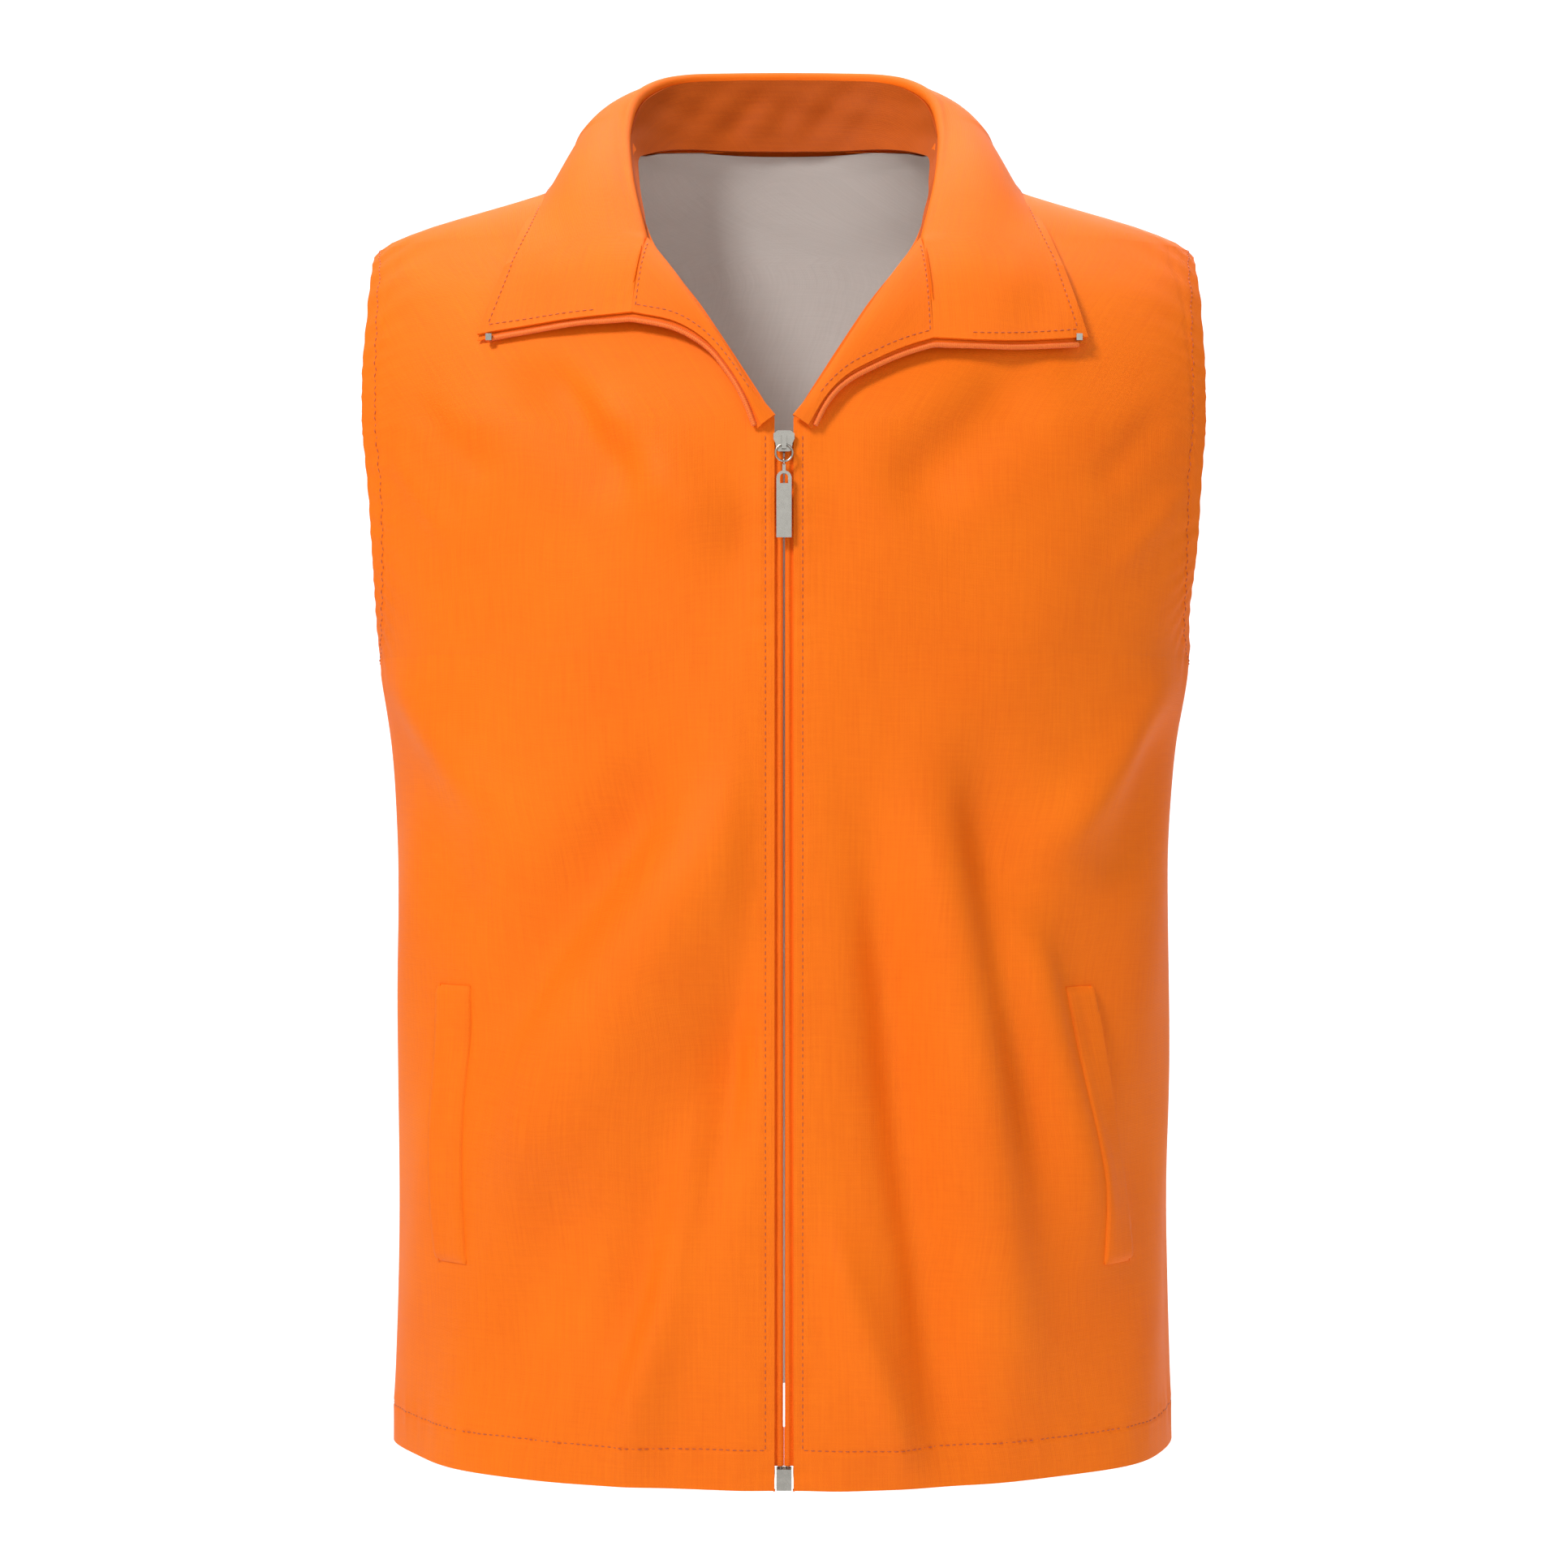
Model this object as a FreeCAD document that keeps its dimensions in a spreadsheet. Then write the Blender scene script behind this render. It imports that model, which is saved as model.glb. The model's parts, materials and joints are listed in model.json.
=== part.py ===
import FreeCAD, Part
import math
import os
from FreeCAD import Placement, Rotation, Vector

# A lined, sleeveless work vest with a full-length front zip, drawn as it sits on a body.
# Millimetres. +Z up, +X to the wearer's left, -Y to the front.
# The origin is on the centre line of the body at the level of the hem.

doc = FreeCAD.newDocument("vest")
sheet = doc.addObject("Spreadsheet::Sheet", "Dimensions")
next_row = 1


def set_dimension(name, value):
    """Write one driving dimension to the sheet under its own alias."""
    global next_row
    sheet.set(f"A{next_row}", name)
    sheet.set(f"B{next_row}", str(value))
    sheet.setAlias(f"B{next_row}", name)
    next_row += 1


def size(name):
    """Read a driving dimension back from the sheet."""
    return float(sheet.get(name))


def place(name):
    """Read a landmark back from the sheet as a point."""
    x = size(name + "_x")
    height = size(name + "_z")
    if name in FRONT_LANDMARKS:
        y = form_point(height, angle_at_x(height, x), 0).y - size(name + "_standoff")
    else:
        y = size(name + "_y")
    return Vector(x, y, height)


# ---------------------------------------------------------------- driving dimensions

# Level sections of the body form: height, half width, reach to the front and to the back.
BODY_LEVELS = {
    "hem": (0, 209, 134, 134),
    "waist": (140, 206.5, 134, 134),
    "ribs": (300, 207, 134, 132),
    "underarm": (414, 216, 134, 130),
    "breast": (490, 236, 134, 125),
    "chest": (527, 243, 133, 122),
    "yoke": (560, 246, 123, 117),
    "armpit_top": (600, 240, 105, 110),
    "shoulder_tip": (635, 219, 78, 100),
    "shoulder_mid": (672, 118, 48, 88),
    "neck_base": (700, 80, 20, 76),
    "neck_top": (712, 66, 8, 70),
}

# How much of a layer's depth also lowers its level, because the shoulders lie nearly flat.
LEVEL_DROP = {"armpit_top": 0.5, "shoulder_tip": 1, "shoulder_mid": 1, "neck_base": 1, "neck_top": 1}

# Depth of each layer's two faces below the outside of the shell cloth.
LAYERS = {
    "welt": (-2.2, -0.5),
    "shell": (0, 1.2),
    "pocket_bag": (1.8, 3.2),
    "lining": (4.2, 5.0),
}

# Landmarks of the wearer's left half that lie over the front: x, height, distance off the form.
FRONT_LANDMARKS = {
    "roll_low": (17, 550, 4),
    "roll_middle": (42, 587, 4),
    "roll_high": (57, 611, 4),
    "roll_seam": (70, 629, 4),
    "edge_low": (20, 548, 9),
    "edge_middle": (42, 568, 9),
    "edge_high": (60, 579, 8),
    "edge_seam": (76, 583, 8),
    "edge_outer": (116, 582, 7),
    "leaf_tip": (156, 581, 7),
    "leaf_side": (148, 596, 6),
    "leaf_rear": (140, 615, 6),
    "seam_middle": (73, 606, 6),
    "fall_front_top": (75, 637, 7),
    "fall_front_edge": (138.5, 620, 6),
    "fall_side_edge": (131, 650, 12),
}

# Other landmarks of the wearer's left half: x, y, height.
LANDMARKS = {
    "vee": (2.6, -136.5, 533),
    "edge_start": (7.2, -138, 532),
    "fall_side_top": (83, -32, 686),
    "fall_shoulder_top": (84.5, 8, 719),
    "fall_shoulder_edge": (125, 8, 682),
    "fall_turn_top": (71, 43, 739),
    "fall_turn_edge": (94, 60, 694),
    "fall_back_top": (0, 68, 750),
    "fall_back_edge": (0, 86, 704),
    "stand_front_base": (61, -56, 638),
    "stand_front_top": (64, -52, 646),
    "stand_side_base": (72, -22, 670),
    "stand_side_top": (77, -23, 688),
    "stand_shoulder_base": (72, 8, 692),
    "stand_shoulder_top": (80.5, 8, 719),
    "stand_turn_base": (54, 37, 703),
    "stand_turn_top": (65, 37, 739),
    "stand_back_base": (0, 59, 709),
    "stand_back_top": (0, 62, 749),
}

# Points of the front opening's outline above the zip: half width at a height.
OPENING = {
    "opening_foot": (0, 524.5),
    "opening_low": (14.6, 548),
    "opening_middle": (39.6, 588),
    "opening_seam": (68.5, 631.5),
    "opening_side": (78, 668),
    "opening_neck": (81, 700),
    "opening_top": (81, 780),
}

SIZES = {
    "form_squareness": 0.92,
    "seam_half_gap_angle": 0.06,
    "placket_gap": 4.7,
    "facing_start": 7,
    "facing_width": 30,
    "seam_gap": 0.4,
    "neck_half_width": 81,
    "neck_point_height": 695,
    "back_neck_rise": 13,
    "lining_drop": 3,
    "facing_top": 690,
    "armhole_centre_z": 525.5,
    "armhole_half_depth": 65,
    "armhole_half_height": 109.5,
    "armhole_facing_width": 16,
    "armhole_facing_top_share": 0.35,
    "collar_thickness": 1.6,
    "zip_front_y": -131.9,
    "tape_thickness": 0.6,
    "tape_inner_x": 0.9,
    "tape_outer_x": 14,
    "tape_top_margin": 14,
    "tape_foot": 12,
    "coil_radius": 1.2,
    "coil_offset_x": 1.95,
    "coil_gap": 0.1,
    "coil_bottom": 23,
    "zip_top": 525,
    "box_foot": 0.3,
    "box_width": 7.6,
    "box_height": 10.5,
    "box_front_y": -134.8,
    "box_depth": 7,
    "pin_radius": 1.0,
    "pin_clearance": 0.15,
    "pin_foot": 1.5,
    "pin_head_gap": 0.5,
    "channel_foot_gap": 0.2,
    "slider_bottom": 514.4,
    "slider_height": 10.4,
    "slider_half_width": 5.2,
    "slider_tail_half_width": 4.0,
    "slider_plate": 1.2,
    "slider_front_y": -136.4,
    "slider_rear_y": -128.2,
    "slider_post": 0.8,
    "slider_post_height": 3.2,
    "slider_flange": 0.7,
    "slider_flange_x": 3.5,
    "flange_foot_share": 0.3,
    "flange_top_share": 0.8,
    "tape_clearance": 0.4,
    "weld_overlap": 0.2,
    "bridge_width": 2.2,
    "bridge_foot": 1.2,
    "bridge_height": 7,
    "bridge_reach": 3.2,
    "bridge_hole_radius": 1.0,
    "pull_axis_y": -138.0,
    "pull_axis_z": 517.8,
    "ring_radius": 4.2,
    "ring_wire": 0.55,
    "eye_radius": 1.45,
    "eye_wire": 0.5,
    "tab_half_width": 3.75,
    "tab_length": 33,
    "tab_thickness": 1.2,
    "tab_slot_half_width": 2.0,
    "tab_slot_bottom": 26.7,
    "tab_neck": 3.2,
    "tab_neck_half_width": 0.8,
    "tab_neck_half_depth": 0.5,
    "tab_slot_arch": 0.4,
    "stop_width": 3,
    "stop_depth": 3.4,
    "edge_gap": 0.4,
    "edge_outward_y": 0.6,
    "edge_outward_z": 0.8,
    "lapel_tape_width": 1.6,
    "coil_clearance": 1.4,
    "stop_inset": 7,
    "stop_forward": 3,
    "stop_drop": 3.6,
    "welt_width": 17,
    "welt_length": 142,
    "welt_bottom": 105,
    "left_welt_x": 170,
    "left_welt_slope": -0.116,
    "right_welt_x": 171,
    "right_welt_slope": 0.01,
    "bag_width": 95,
    "bag_height": 190,
    "bag_bottom": 70,
    "bag_outer_x": 185,
}

for level, (height, half_width, front, back) in BODY_LEVELS.items():
    set_dimension(level + "_height", height)
    set_dimension(level + "_half_width", half_width)
    set_dimension(level + "_front", front)
    set_dimension(level + "_back", back)
    set_dimension(level + "_drop", LEVEL_DROP.get(level, 0))
for layer, (outer_face, inner_face) in LAYERS.items():
    set_dimension(layer + "_outer_face", outer_face)
    set_dimension(layer + "_inner_face", inner_face)
for landmark, point in LANDMARKS.items():
    for letter, value in zip("xyz", point):
        set_dimension(f"{landmark}_{letter}", value)
for landmark, point in FRONT_LANDMARKS.items():
    for part, value in zip(("x", "z", "standoff"), point):
        set_dimension(f"{landmark}_{part}", value)
for corner, (half_width, height) in OPENING.items():
    set_dimension(corner + "_half_width", half_width)
    set_dimension(corner + "_height", height)
for name, value in SIZES.items():
    set_dimension(name, value)
doc.recompute()

sub_parts = []
SIDES = {"left": 1, "right": -1}
PANEL_STEPS = 10
NEAR_LEVELS = 1.5
NECK_SHARES = (0, 0.2, 0.4, 0.6, 0.75)
NECK_CUT_SHARE = 0.9
ARMHOLE_STEP = 20
FACING_TURNS = range(6, 175, 12)

# The right half of a slider plate: share of the tail's or the shoulder's half width, share of the height.
SLIDER_TAIL = ((0.7, 0), (1, 0.12), (1, 0.35))
SLIDER_SHOULDER = ((1, 0.6), (1, 0.85), (0.6, 1))


def bound(kind, name, **expressions):
    """Add an object whose properties are bound to the sheet; __ in a key stands for a dot."""
    made = doc.addObject(kind, name)
    for key, expression in expressions.items():
        path = key.replace("__", ".")
        if path.startswith("Placement"):
            path = "." + path
        made.setExpression(path, expression)
    return made


def combine(kind, name, base, tool):
    """Cut or Common of two objects."""
    made = doc.addObject(kind, name)
    made.Base = base
    made.Tool = tool
    return made


def join(name, pieces):
    made = doc.addObject("Part::MultiFuse", name)
    made.Shapes = pieces
    return made


def shaped(name, shape):
    """A free-form cloth piece: its shape is set here and its place is the vest's own frame."""
    made = doc.addObject("Part::Feature", name)
    made.Shape = shape
    made.Placement = Placement(Vector(0, 0, 0), Rotation())
    return made


def keep(made, label):
    """Mark an object as a sub-part and give it the name of its file."""
    made.Label = label
    sub_parts.append(made)
    return made


def box_between(name, low, high):
    """A box between two corners given as sheet expressions."""
    return bound(
        "Part::Box", name,
        Length=f"({high[0]}) - ({low[0]})",
        Width=f"({high[1]}) - ({low[1]})",
        Height=f"({high[2]}) - ({low[2]})",
        Placement__Base__x=low[0],
        Placement__Base__y=low[1],
        Placement__Base__z=low[2])


def mirrored(point, side):
    """A landmark of the left half, or its twin on the right half."""
    return Vector(point.x * side, point.y, point.z)


# ---------------------------------------------------------------- the body form


def form_at(height):
    """Half width, front reach, back reach and level drop of the body form at any height."""
    levels = [[size(f"{level}_{part}") for part in ("height", "half_width", "front", "back", "drop")]
              for level in BODY_LEVELS]
    for below, above in zip(levels, levels[1:]):
        if height <= above[0]:
            break
    share = (height - below[0]) / (above[0] - below[0])
    return [low + (high - low) * share for low, high in zip(below[1:], above[1:])]


def form_point(height, angle, depth):
    """A point of the form; the angle runs from the front centre round the wearer's left."""
    half_width, front, back, drop = form_at(height)
    turn = math.radians(angle)
    reach = back if math.cos(turn) < 0 else front
    power = size("form_squareness")
    x = (half_width - depth) * math.copysign(abs(math.sin(turn)) ** power, math.sin(turn))
    y = -(reach - depth) * math.copysign(abs(math.cos(turn)) ** power, math.cos(turn))
    return Vector(x, y, height - depth * drop)


def angle_at_x(height, x):
    """The front angle at which the form is x from the centre line."""
    half_width = form_at(height)[0]
    return math.degrees(math.asin((x / half_width) ** (1 / size("form_squareness"))))


def angle_at_y(height, y):
    """The angle at which the wearer's left side of the form is y from the side seam's plane."""
    _, front, back, _ = form_at(height)
    reach = front if y < 0 else back
    from_end = math.degrees(math.acos(min(abs(y) / reach, 1) ** (1 / size("form_squareness"))))
    return from_end if y < 0 else 180 - from_end


def armhole_heights():
    """Levels through the armhole, close together where its edge runs level."""
    centre = size("armhole_centre_z")
    half = size("armhole_half_height")
    return [centre - half * math.cos(math.radians(step)) for step in range(0, 181, ARMHOLE_STEP)]


def armhole_y(height, margin=0):
    """Half depth of the armhole at a height, grown by a margin; 0 above and below it."""
    half = size("armhole_half_height") + margin
    rise = (height - size("armhole_centre_z")) / half
    if abs(rise) >= 1:
        return 0
    return (size("armhole_half_depth") + margin) * math.sqrt(1 - rise * rise)


def opening_x(height):
    """Half width of the front opening: the placket below, the roll of the lapels above."""
    corners = [(size(c + "_height"), size(c + "_half_width")) for c in OPENING]
    if height <= corners[0][0]:
        return size("placket_gap")
    for (low_z, low_x), (high_z, high_x) in zip(corners, corners[1:]):
        if height <= high_z:
            break
    share = (height - low_z) / (high_z - low_z)
    return max(low_x + (high_x - low_x) * share, size("placket_gap"))


def neck_x(height):
    """Half width of the back neck's edge, which closes to nothing over a few millimetres."""
    rise = (height - size("neck_point_height")) / size("back_neck_rise")
    return size("neck_half_width") * math.sqrt(max(1 - rise * rise, 0))


def closed_loft(sections):
    """A solid through sections of four edges: two faces and two ends, ruled from one to the next."""
    faces = []
    for below, above in zip(sections, sections[1:]):
        faces += [Part.makeRuledSurface(low, high) for low, high in zip(below, above)]
    for first_face, _, second_face, _ in (sections[0], sections[-1]):
        faces.append(Part.makeRuledSurface(first_face, second_face))
    skin = Part.makeShell([face for item in faces for face in item.Faces])
    skin.sewShape()
    solid = Part.makeSolid(skin)
    if solid.Volume < 0:
        solid.reverse()
    return solid


def ends_of(edge):
    return edge.valueAt(edge.FirstParameter), edge.valueAt(edge.LastParameter)


def four_edges(first_face, second_face):
    """The edges of one section: two faces that run the same way and the lines between their ends."""
    first_start, first_end = ends_of(first_face)
    second_start, second_end = ends_of(second_face)
    return (first_face, Part.makeLine(first_end, second_end),
            second_face, Part.makeLine(first_start, second_start))


def cloth_panel(heights, near, far, layer):
    """A closed panel of one layer between two edges, given as angles at each height."""
    depths = (size(layer + "_outer_face"), size(layer + "_inner_face"))
    shares = [step / PANEL_STEPS for step in range(PANEL_STEPS + 1)]
    sections = []
    for height in heights:
        faces = []
        for depth in depths:
            angles = [near(height) + (far(height) - near(height)) * share for share in shares]
            curve = Part.BSplineCurve()
            curve.interpolate(
                Points=[form_point(height, angle, depth) for angle in angles], Parameters=shares)
            faces.append(curve.toShape())
        sections.append(four_edges(*faces))
    return closed_loft(sections)


def levels_between(low, high, extra=()):
    """Sorted heights from low to high through the form's own levels, without near repeats."""
    inner = [size(level + "_height") for level in BODY_LEVELS] + list(extra)
    chosen = [low]
    for height in sorted(inner):
        if chosen[-1] + NEAR_LEVELS < height < high - NEAR_LEVELS:
            chosen.append(height)
    return chosen + [high]


def twin(shape, side):
    """The shape itself on the left, its mirror image on the right."""
    return shape if side > 0 else shape.mirror(Vector(0, 0, 0), Vector(1, 0, 0))


# ---------------------------------------------------------------- shells, linings and facings

hem = size("hem_height")
neck_point = size("neck_point_height")
seam_angle = size("seam_half_gap_angle")
opening_levels = [size(corner + "_height") for corner in OPENING]
front_levels = levels_between(hem, neck_point, armhole_heights() + opening_levels[1:-1])
lining_top = neck_point - size("lining_drop")
lining_levels = levels_between(hem, lining_top, armhole_heights() + opening_levels[1:-1])
facing_width = size("facing_width")
margin = size("armhole_facing_width")
gap = size("seam_gap")


def front_edge(height):
    return angle_at_x(height, opening_x(height))


def facing_start(height):
    return angle_at_x(height, max(opening_x(height) + gap, size("facing_start")))


def facing_end(height):
    return angle_at_x(height, max(opening_x(height), size("facing_start")) + facing_width)


def lining_start(height):
    return angle_at_x(height, max(opening_x(height), size("facing_start")) + facing_width + gap)


def front_far(height, widened=0):
    return min(angle_at_y(height, -armhole_y(height, widened)), 90 - seam_angle)


def back_near(height, widened=0):
    return max(angle_at_y(height, armhole_y(height, widened)), 90 + seam_angle)


def lining_far(height):
    return front_far(height, margin + 2 * gap)


def back_panel(top, widened, layer, extra=()):
    """The back from one side seam to the other, up to the back of the neck."""
    heights = levels_between(hem, top, armhole_heights() + list(extra))

    def near(height):
        if height > neck_point:
            return 180 - angle_at_x(height, min(neck_x(height), form_at(height)[0] - 1))
        return back_near(height, widened)

    return cloth_panel(heights, near, lambda height: 360 - near(height), layer)


def armhole_band(side):
    """The facing inside the armhole: a front half and a back half that meet at the seams."""
    depth = (size("lining_outer_face") + size("lining_inner_face")) / 2
    thickness = size("lining_inner_face") - size("lining_outer_face")
    centre = size("armhole_centre_z")
    halves = []
    for way in (-1, 1):
        stations = []
        for step in FACING_TURNS:
            turn = math.radians(step)
            pair = []
            for grow in (0, margin):
                grow_z = grow * (1 if step < 90 else size("armhole_facing_top_share"))
                height = centre - (size("armhole_half_height") + grow_z) * math.cos(turn)
                y = way * (size("armhole_half_depth") + grow) * math.sin(turn)
                pair.append(form_point(height, angle_at_y(height, y), depth))
            stations.append(pair)
        halves.append(ribbon(stations, thickness))
    return twin(Part.makeCompound(halves), side)


def ribbon(stations, thickness):
    """A band of cloth: a thin four-sided section at each pair of points, lofted in order."""
    centres = [(a + b) * 0.5 for a, b in stations]
    sections = []
    for index, (first, second) in enumerate(stations):
        before = centres[max(index - 1, 0)]
        after = centres[min(index + 1, len(stations) - 1)]
        across = second - first
        normal = across.cross(after - before)
        normal.normalize()
        half = normal * (thickness / 2)
        sections.append(four_edges(
            Part.makeLine(first + half, second + half), Part.makeLine(first - half, second - half)))
    return closed_loft(sections)


back_top = neck_point + size("back_neck_rise") * NECK_CUT_SHARE
keep(shaped("back_cloth", back_panel(
    back_top, 0, "shell", [neck_point + size("back_neck_rise") * share for share in NECK_SHARES])),
     "back_shell")
keep(shaped("back_lining_cloth", back_panel(lining_top, margin + 2 * gap, "lining")), "back_lining")
for side_name, side in SIDES.items():
    keep(shaped(side_name + "_front_cloth", twin(
        cloth_panel(front_levels, front_edge, front_far, "shell"), side)), side_name + "_front_shell")
    keep(shaped(side_name + "_facing_cloth", twin(
        cloth_panel([z for z in lining_levels if z < size("facing_top")],
                    facing_start, facing_end, "lining"), side)), side_name + "_front_facing")
    keep(shaped(side_name + "_lining_cloth", twin(
        cloth_panel([z for z in lining_levels if z < size("facing_top")],
                    lining_start, lining_far, "lining"), side)), side_name + "_front_lining")
    keep(shaped(side_name + "_armhole_cloth", armhole_band(side)), side_name + "_armhole_facing")

# ---------------------------------------------------------------- pockets


def welt(side_name, side):
    """The pocket's flap-like lip, on the outside of the front."""
    foot = size("welt_bottom")
    head = foot + size("welt_length")
    half = size("welt_width") / 2

    def centre(height):
        return size(side_name + "_welt_x") + (height - foot) * size(side_name + "_welt_slope")

    return twin(cloth_panel(
        levels_between(foot, head),
        lambda height: angle_at_x(height, centre(height) - half),
        lambda height: angle_at_x(height, centre(height) + half), "welt"), side)


def pocket_bag(side):
    """The flat pouch between the shell and the lining."""
    foot = size("bag_bottom")
    outer = size("bag_outer_x")
    return twin(cloth_panel(
        levels_between(foot, foot + size("bag_height")),
        lambda height: angle_at_x(height, outer - size("bag_width")),
        lambda height: angle_at_x(height, outer), "pocket_bag"), side)


for side_name, side in SIDES.items():
    keep(shaped(side_name + "_welt_cloth", welt(side_name, side)), side_name + "_pocket_welt")
    keep(shaped(side_name + "_bag_cloth", pocket_bag(side)), side_name + "_pocket_bag")

# ---------------------------------------------------------------- collar and lapels


def around(names_a, names_b):
    """Station pairs from the left front round the back to the right front."""
    left = [(place(a), place(b)) for a, b in zip(names_a, names_b)]
    right = [(mirrored(a, -1), mirrored(b, -1)) for a, b in reversed(left[:-1])]
    return left + right


def one_side(names_a, names_b, side):
    return [(mirrored(place(a), side), mirrored(place(b), side)) for a, b in zip(names_a, names_b)]


thickness = size("collar_thickness")
keep(shaped("collar_stand_cloth", ribbon(around(
    ["stand_front_base", "stand_side_base", "stand_shoulder_base", "stand_turn_base", "stand_back_base"],
    ["stand_front_top", "stand_side_top", "stand_shoulder_top", "stand_turn_top", "stand_back_top"]),
    thickness)), "collar_stand")
keep(shaped("collar_fall_cloth", ribbon(around(
    ["fall_front_top", "fall_side_top", "fall_shoulder_top", "fall_turn_top", "fall_back_top"],
    ["fall_front_edge", "fall_side_edge", "fall_shoulder_edge", "fall_turn_edge", "fall_back_edge"]),
    thickness)), "collar_fall")

ZIP_EDGE = ["edge_start", "edge_low", "edge_middle", "edge_high", "edge_seam", "edge_outer", "leaf_tip"]


def smooth_edge(points):
    curve = Part.BSplineCurve()
    curve.interpolate(points)
    return curve.toShape()


def beyond_edge(distance, side):
    """The zip edge moved a distance outward, the way the turned-out lapel points."""
    outward = Vector(0, -size("edge_outward_y"), -size("edge_outward_z")) * distance
    return [mirrored(place(name), side) + outward for name in ZIP_EDGE]


def lapel_tape(side):
    """The part of the turned-out zip tape that shows beyond the lapel's edge."""
    near = beyond_edge(size("edge_gap"), side)
    far = beyond_edge(size("edge_gap") + size("lapel_tape_width"), side)
    return ribbon(list(zip(near, far)), size("tape_thickness"))


def lapel_coil(side):
    """The turned-out coil: one round bead along the free edge of the tape."""
    distance = (size("edge_gap") + size("lapel_tape_width") + size("coil_clearance")
                + size("coil_radius"))
    path = Part.Wire(smooth_edge(beyond_edge(distance, side)[:-1]))
    start = path.Edges[0]
    circle = Part.Circle(
        start.valueAt(start.FirstParameter), start.tangentAt(start.FirstParameter), size("coil_radius"))
    return path.makePipeShell([Part.Wire(circle.toShape())], True, False)


for side_name, side in SIDES.items():
    keep(shaped(side_name + "_lapel_cloth", ribbon(one_side(
        ["vee", "roll_low", "roll_middle", "roll_high", "roll_seam"],
        ["edge_start", "edge_low", "edge_middle", "edge_high", "edge_seam"], side),
        thickness)), side_name + "_lapel")
    beside_seam = Vector(size("seam_gap") * 2 * side, 0, 0)
    leaf = one_side(["roll_seam", "seam_middle", "edge_seam"],
                    ["leaf_rear", "leaf_side", "leaf_tip"], side)
    keep(shaped(side_name + "_leaf_cloth", ribbon([(a + beside_seam, b) for a, b in leaf], thickness)),
         side_name + "_collar_leaf")
    keep(shaped(side_name + "_lapel_tape_cloth", lapel_tape(side)), side_name + "_lapel_zip_tape")
    keep(shaped(side_name + "_lapel_coil_bead", lapel_coil(side)), side_name + "_lapel_zip_coil")
    tip, inward = place("leaf_tip"), place("edge_outer") - place("leaf_tip")
    stop_at = mirrored(tip + inward * (size("stop_inset") / inward.Length), side)
    stop = bound(
        "Part::Box", side_name + "_stop", Length="Dimensions.stop_width",
        Width="Dimensions.stop_depth", Height="Dimensions.stop_depth")
    half_depth = size("stop_depth") / 2
    stop.Placement.Base = stop_at + Vector(
        -size("stop_width") / 2, -half_depth - size("stop_forward"),
        -size("stop_depth") - size("stop_drop"))
    keep(stop, side_name + "_top_stop")

# ---------------------------------------------------------------- the closed zip

COIL_Y = ("Dimensions.zip_front_y + Dimensions.tape_thickness + Dimensions.coil_gap"
          " + Dimensions.coil_radius")
for side_name, side in SIDES.items():
    tape_x = "Dimensions.tape_inner_x" if side > 0 else "-Dimensions.tape_outer_x"
    keep(bound(
        "Part::Box", side_name + "_tape",
        Length="Dimensions.tape_outer_x - Dimensions.tape_inner_x",
        Width="Dimensions.tape_thickness",
        Height="Dimensions.zip_top - Dimensions.tape_top_margin - Dimensions.tape_foot",
        Placement__Base__x=tape_x,
        Placement__Base__y="Dimensions.zip_front_y",
        Placement__Base__z="Dimensions.tape_foot"), side_name + "_zip_tape")
    coil_x = f"{side} * Dimensions.coil_offset_x"
    keep(bound(
        "Part::Cylinder", side_name + "_coil",
        Radius="Dimensions.coil_radius",
        Height="Dimensions.zip_top - Dimensions.coil_bottom",
        Placement__Base__x=coil_x,
        Placement__Base__y=COIL_Y,
        Placement__Base__z="Dimensions.coil_bottom"), side_name + "_zip_coil")

box_block = box_between(
    "box_block",
    ("-Dimensions.box_width / 2", "Dimensions.box_front_y", "Dimensions.box_foot"),
    ("Dimensions.box_width / 2", "Dimensions.box_front_y + Dimensions.box_depth",
     "Dimensions.box_foot + Dimensions.box_height"))
pin_channels = []
for side_name, side in SIDES.items():
    pin_name = "box_pin" if side > 0 else "insertion_pin"
    keep(bound(
        "Part::Cylinder", pin_name + "_rod",
        Radius="Dimensions.pin_radius",
        Height="Dimensions.coil_bottom - Dimensions.pin_head_gap - Dimensions.pin_foot",
        Placement__Base__x=f"{side} * Dimensions.coil_offset_x",
        Placement__Base__y=COIL_Y,
        Placement__Base__z="Dimensions.pin_foot"), pin_name)
    pin_channels.append(bound(
        "Part::Cylinder", side_name + "_channel",
        Radius="Dimensions.pin_radius + Dimensions.pin_clearance",
        Height="Dimensions.box_height * 2",
        Placement__Base__x=f"{side} * Dimensions.coil_offset_x",
        Placement__Base__y=COIL_Y,
        Placement__Base__z="Dimensions.pin_foot - Dimensions.channel_foot_gap"))
keep(combine("Part::Cut", "box_shell", box_block, join("pin_channels", pin_channels)), "retainer_box")

# ---------------------------------------------------------------- slider, ring and pull tab


def origin_plane(body, role):
    return next(item for item in body.Origin.OriginFeatures if item.Role == role)


def add_outline(sketch, points):
    """Draw a closed outline of straight lines in the sketch."""
    for start, end in zip(points, points[1:] + points[:1]):
        sketch.addGeometry(Part.LineSegment(Vector(*start, 0), Vector(*end, 0)), False)


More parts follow.
